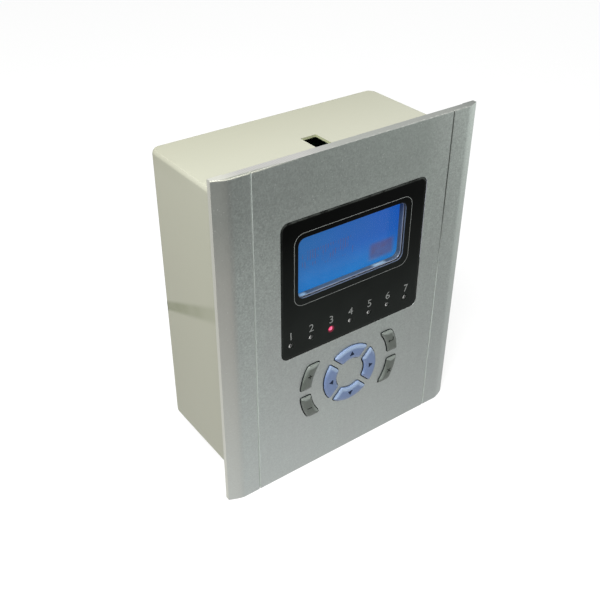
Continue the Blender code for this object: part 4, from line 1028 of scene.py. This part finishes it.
def print_key_signs():
    """Arrows on the ring keys, and plus, minus, return and cross on the keys beside the ring."""
    key_front = FACE_Y - KEY_RISE
    arrow = [(-0.0018, -0.0013), (0.0018, -0.0013), (0.0, 0.0017)]
    for name, turn in (("right", 0), ("up", 90), ("left", 180), ("down", 270)):
        outline = keypad_turned(arrow, turn, ARROW_RADIUS)
        printed("sign_" + name, [outline], key_front, NAVY_INK, "key_" + name, "blue_key")
    signs = {
        "plus": [bar(0.0030, SIGN_STROKE), bar(0.00115, SIGN_STROKE, 90, 0, 0.00093),
                 bar(0.00115, SIGN_STROKE, 90, 0, -0.00093)],
        "minus": [bar(0.0032, SIGN_STROKE)],
        "cancel": [bar(0.0036, SIGN_STROKE, 45), bar(0.00145, SIGN_STROKE, 135, -0.00076, 0.00076),
                   bar(0.00145, SIGN_STROKE, 135, 0.00076, -0.00076)],
        "enter": [bar(0.0028, ENTER_STROKE, 0, 0.0004, -0.0005),
                  bar(0.0018, ENTER_STROKE, 90, 0.0015, 0.0007),
                  [(-0.0009, -0.0016), (-0.0009, 0.0006), (-0.0023, -0.0005)]],
    }
    for name in signs:
        angle = math.radians(KEYS[name]["middle"])
        x = KEYPAD_X + SIGN_RADIUS * math.cos(angle)
        z = KEYPAD_Z + SIGN_RADIUS * math.sin(angle)
        moved = [[(x + a, z + b) for a, b in outline] for outline in signs[name]]
        printed("sign_" + name, moved, key_front, DARK_INK, "key_" + name, "grey_key")


def print_overlay():
    """Thin grey line round the window, and a plain number above each lamp."""
    front = OVERLAY_LOW.y
    outer = rounded_outline(LINE_HALF_WIDTH, LINE_HALF_HEIGHT, LINE_CORNER, LINE_X, LINE_Z)
    inner = rounded_outline(
        LINE_HALF_WIDTH - LINE_THICKNESS, LINE_HALF_HEIGHT - LINE_THICKNESS, LINE_CORNER - LINE_THICKNESS,
        LINE_X, LINE_Z)
    printed_ring("window_outline", outer, inner, front, GREY_INK, "relay", "black_film")
    for i in range(1, LAMP_COUNT + 1):
        low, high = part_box(f"led_{i}")
        number(str(i), (low.x + high.x) / 2, (low.z + high.z) / 2 + NUMBER_RISE, NUMBER_HEIGHT, front)


def make_floor():
    """Plain pale floor, left out of reflections and of the light on the object."""
    shape = bmesh.new()
    bmesh.ops.create_grid(shape, x_segments=8, y_segments=8, size=FLOOR_HALF_SIZE)
    mesh = bpy.data.meshes.new("floor")
    shape.to_mesh(mesh)
    shape.free()
    floor = bpy.data.objects.new("floor", mesh)
    floor.location = (0.0, 0.0, -FLOOR_GAP)
    bpy.context.scene.collection.objects.link(floor)
    paper = Finish("white_paper", (0.30, 0.30, 0.30), 0.85)
    paper.shader.inputs["Specular IOR Level"].default_value = 0.1
    paper.vary(paper.noise(160.0, 3.0), 0.3, 0.7, 0.985, 1.0)
    paper.glow((1.0, 1.0, 1.0), 0.74)
    mesh.materials.append(paper.material)
    floor.visible_glossy = False
    floor.visible_diffuse = False


def brightness(room, height, steps):
    """Grey level of the room at a height, from 0 straight down to 1 straight up."""
    ramp = room.tree.nodes.new("ShaderNodeValToRGB")
    room.link(height, ramp.inputs["Fac"])
    while len(ramp.color_ramp.elements) < len(steps):
        ramp.color_ramp.elements.new(0.5)
    for element, (z, level) in zip(ramp.color_ramp.elements, steps):
        element.position = (z + 1) / 2
        element.color = (level, level, level, 1.0)
    return ramp.outputs["Color"]


def make_room():
    """Soft pale room with a low window to the right and faint light from the left."""
    world = bpy.data.worlds.new("soft_room")
    bpy.context.scene.world = world
    world.use_nodes = True
    room = Nodes(world.node_tree)
    nodes = world.node_tree.nodes
    x, _, z = room.parts(nodes.new("ShaderNodeTexCoord").outputs["Generated"])
    height = room.span(z, -1.0, 1.0)
    ray = nodes.new("ShaderNodeLightPath")
    cast = brightness(room, height, ROOM_LIGHT)
    reflected = brightness(room, height, ROOM_REFLECTED)
    level = room.mix(ray.outputs["Is Glossy Ray"], cast, reflected)
    window = room.every(room.span(x, 0.42, 0.95), room.span(z, -0.70, -0.3))
    windows = room.math("ADD", window, room.span(x, 0.15, -0.2, 0.0, 0.13))
    walls = nodes["Background"]
    room.link(level, walls.inputs["Color"])
    walls.inputs["Strength"].default_value = 1.0
    panes = nodes.new("ShaderNodeBackground")
    panes.inputs["Color"].default_value = (0.96, 1.0, 0.97, 1.0)
    room.link(windows, panes.inputs["Strength"])
    both = nodes.new("ShaderNodeAddShader")
    room.link(walls.outputs[0], both.inputs[0])
    room.link(panes.outputs[0], both.inputs[1])
    plain = nodes.new("ShaderNodeBackground")
    plain.inputs["Color"].default_value = (0.95, 0.95, 0.95, 1.0)
    seen = nodes.new("ShaderNodeMixShader")
    room.link(ray.outputs["Is Camera Ray"], seen.inputs[0])
    room.link(both.outputs[0], seen.inputs[1])
    room.link(plain.outputs[0], seen.inputs[2])
    room.link(seen.outputs[0], nodes["World Output"].inputs["Surface"])


def make_lights():
    """Soft studio lights."""
    for name, place, size, power in LIGHTS:
        light = bpy.data.lights.new(name, "AREA")
        light.energy = power
        light.size = size
        item = bpy.data.objects.new(name, light)
        item.location = place
        item.rotation_mode = "QUATERNION"
        item.rotation_quaternion = (LIGHTS_AIM - Vector(place)).to_track_quat("-Z", "Y")
        bpy.context.scene.collection.objects.link(item)


def make_camera():
    """Camera at the photograph's place, looking down on the front from its left."""
    data = bpy.data.cameras.new("camera")
    data.lens = CAMERA_LENS
    data.sensor_width = 36.0
    data.sensor_fit = "HORIZONTAL"
    data.clip_start = 0.01
    data.clip_end = 50.0
    item = bpy.data.objects.new("camera", data)
    ahead = Vector(CAMERA_AHEAD).normalized()
    right = Vector(CAMERA_RIGHT)
    right = (right - ahead * right.dot(ahead)).normalized()
    up = right.cross(ahead)
    turned = Matrix((right, up, -ahead)).transposed().to_4x4()
    item.matrix_world = Matrix.Translation(CAMERA_PLACE) @ turned
    bpy.context.scene.collection.objects.link(item)
    bpy.context.scene.camera = item


repaint()
soften("front_panel", 0.00025, reshape=round_openings)
soften("housing", 0.0004)
soften("display_overlay", 0.00012)
for key in KEYS:
    make_key(key)
for lamp_number in range(1, LAMP_COUNT + 1):
    make_lamp(lamp_number)
print_key_signs()
print_overlay()
make_floor()
make_room()
make_lights()
make_camera()
bpy.context.scene.view_settings.view_transform = "Standard"
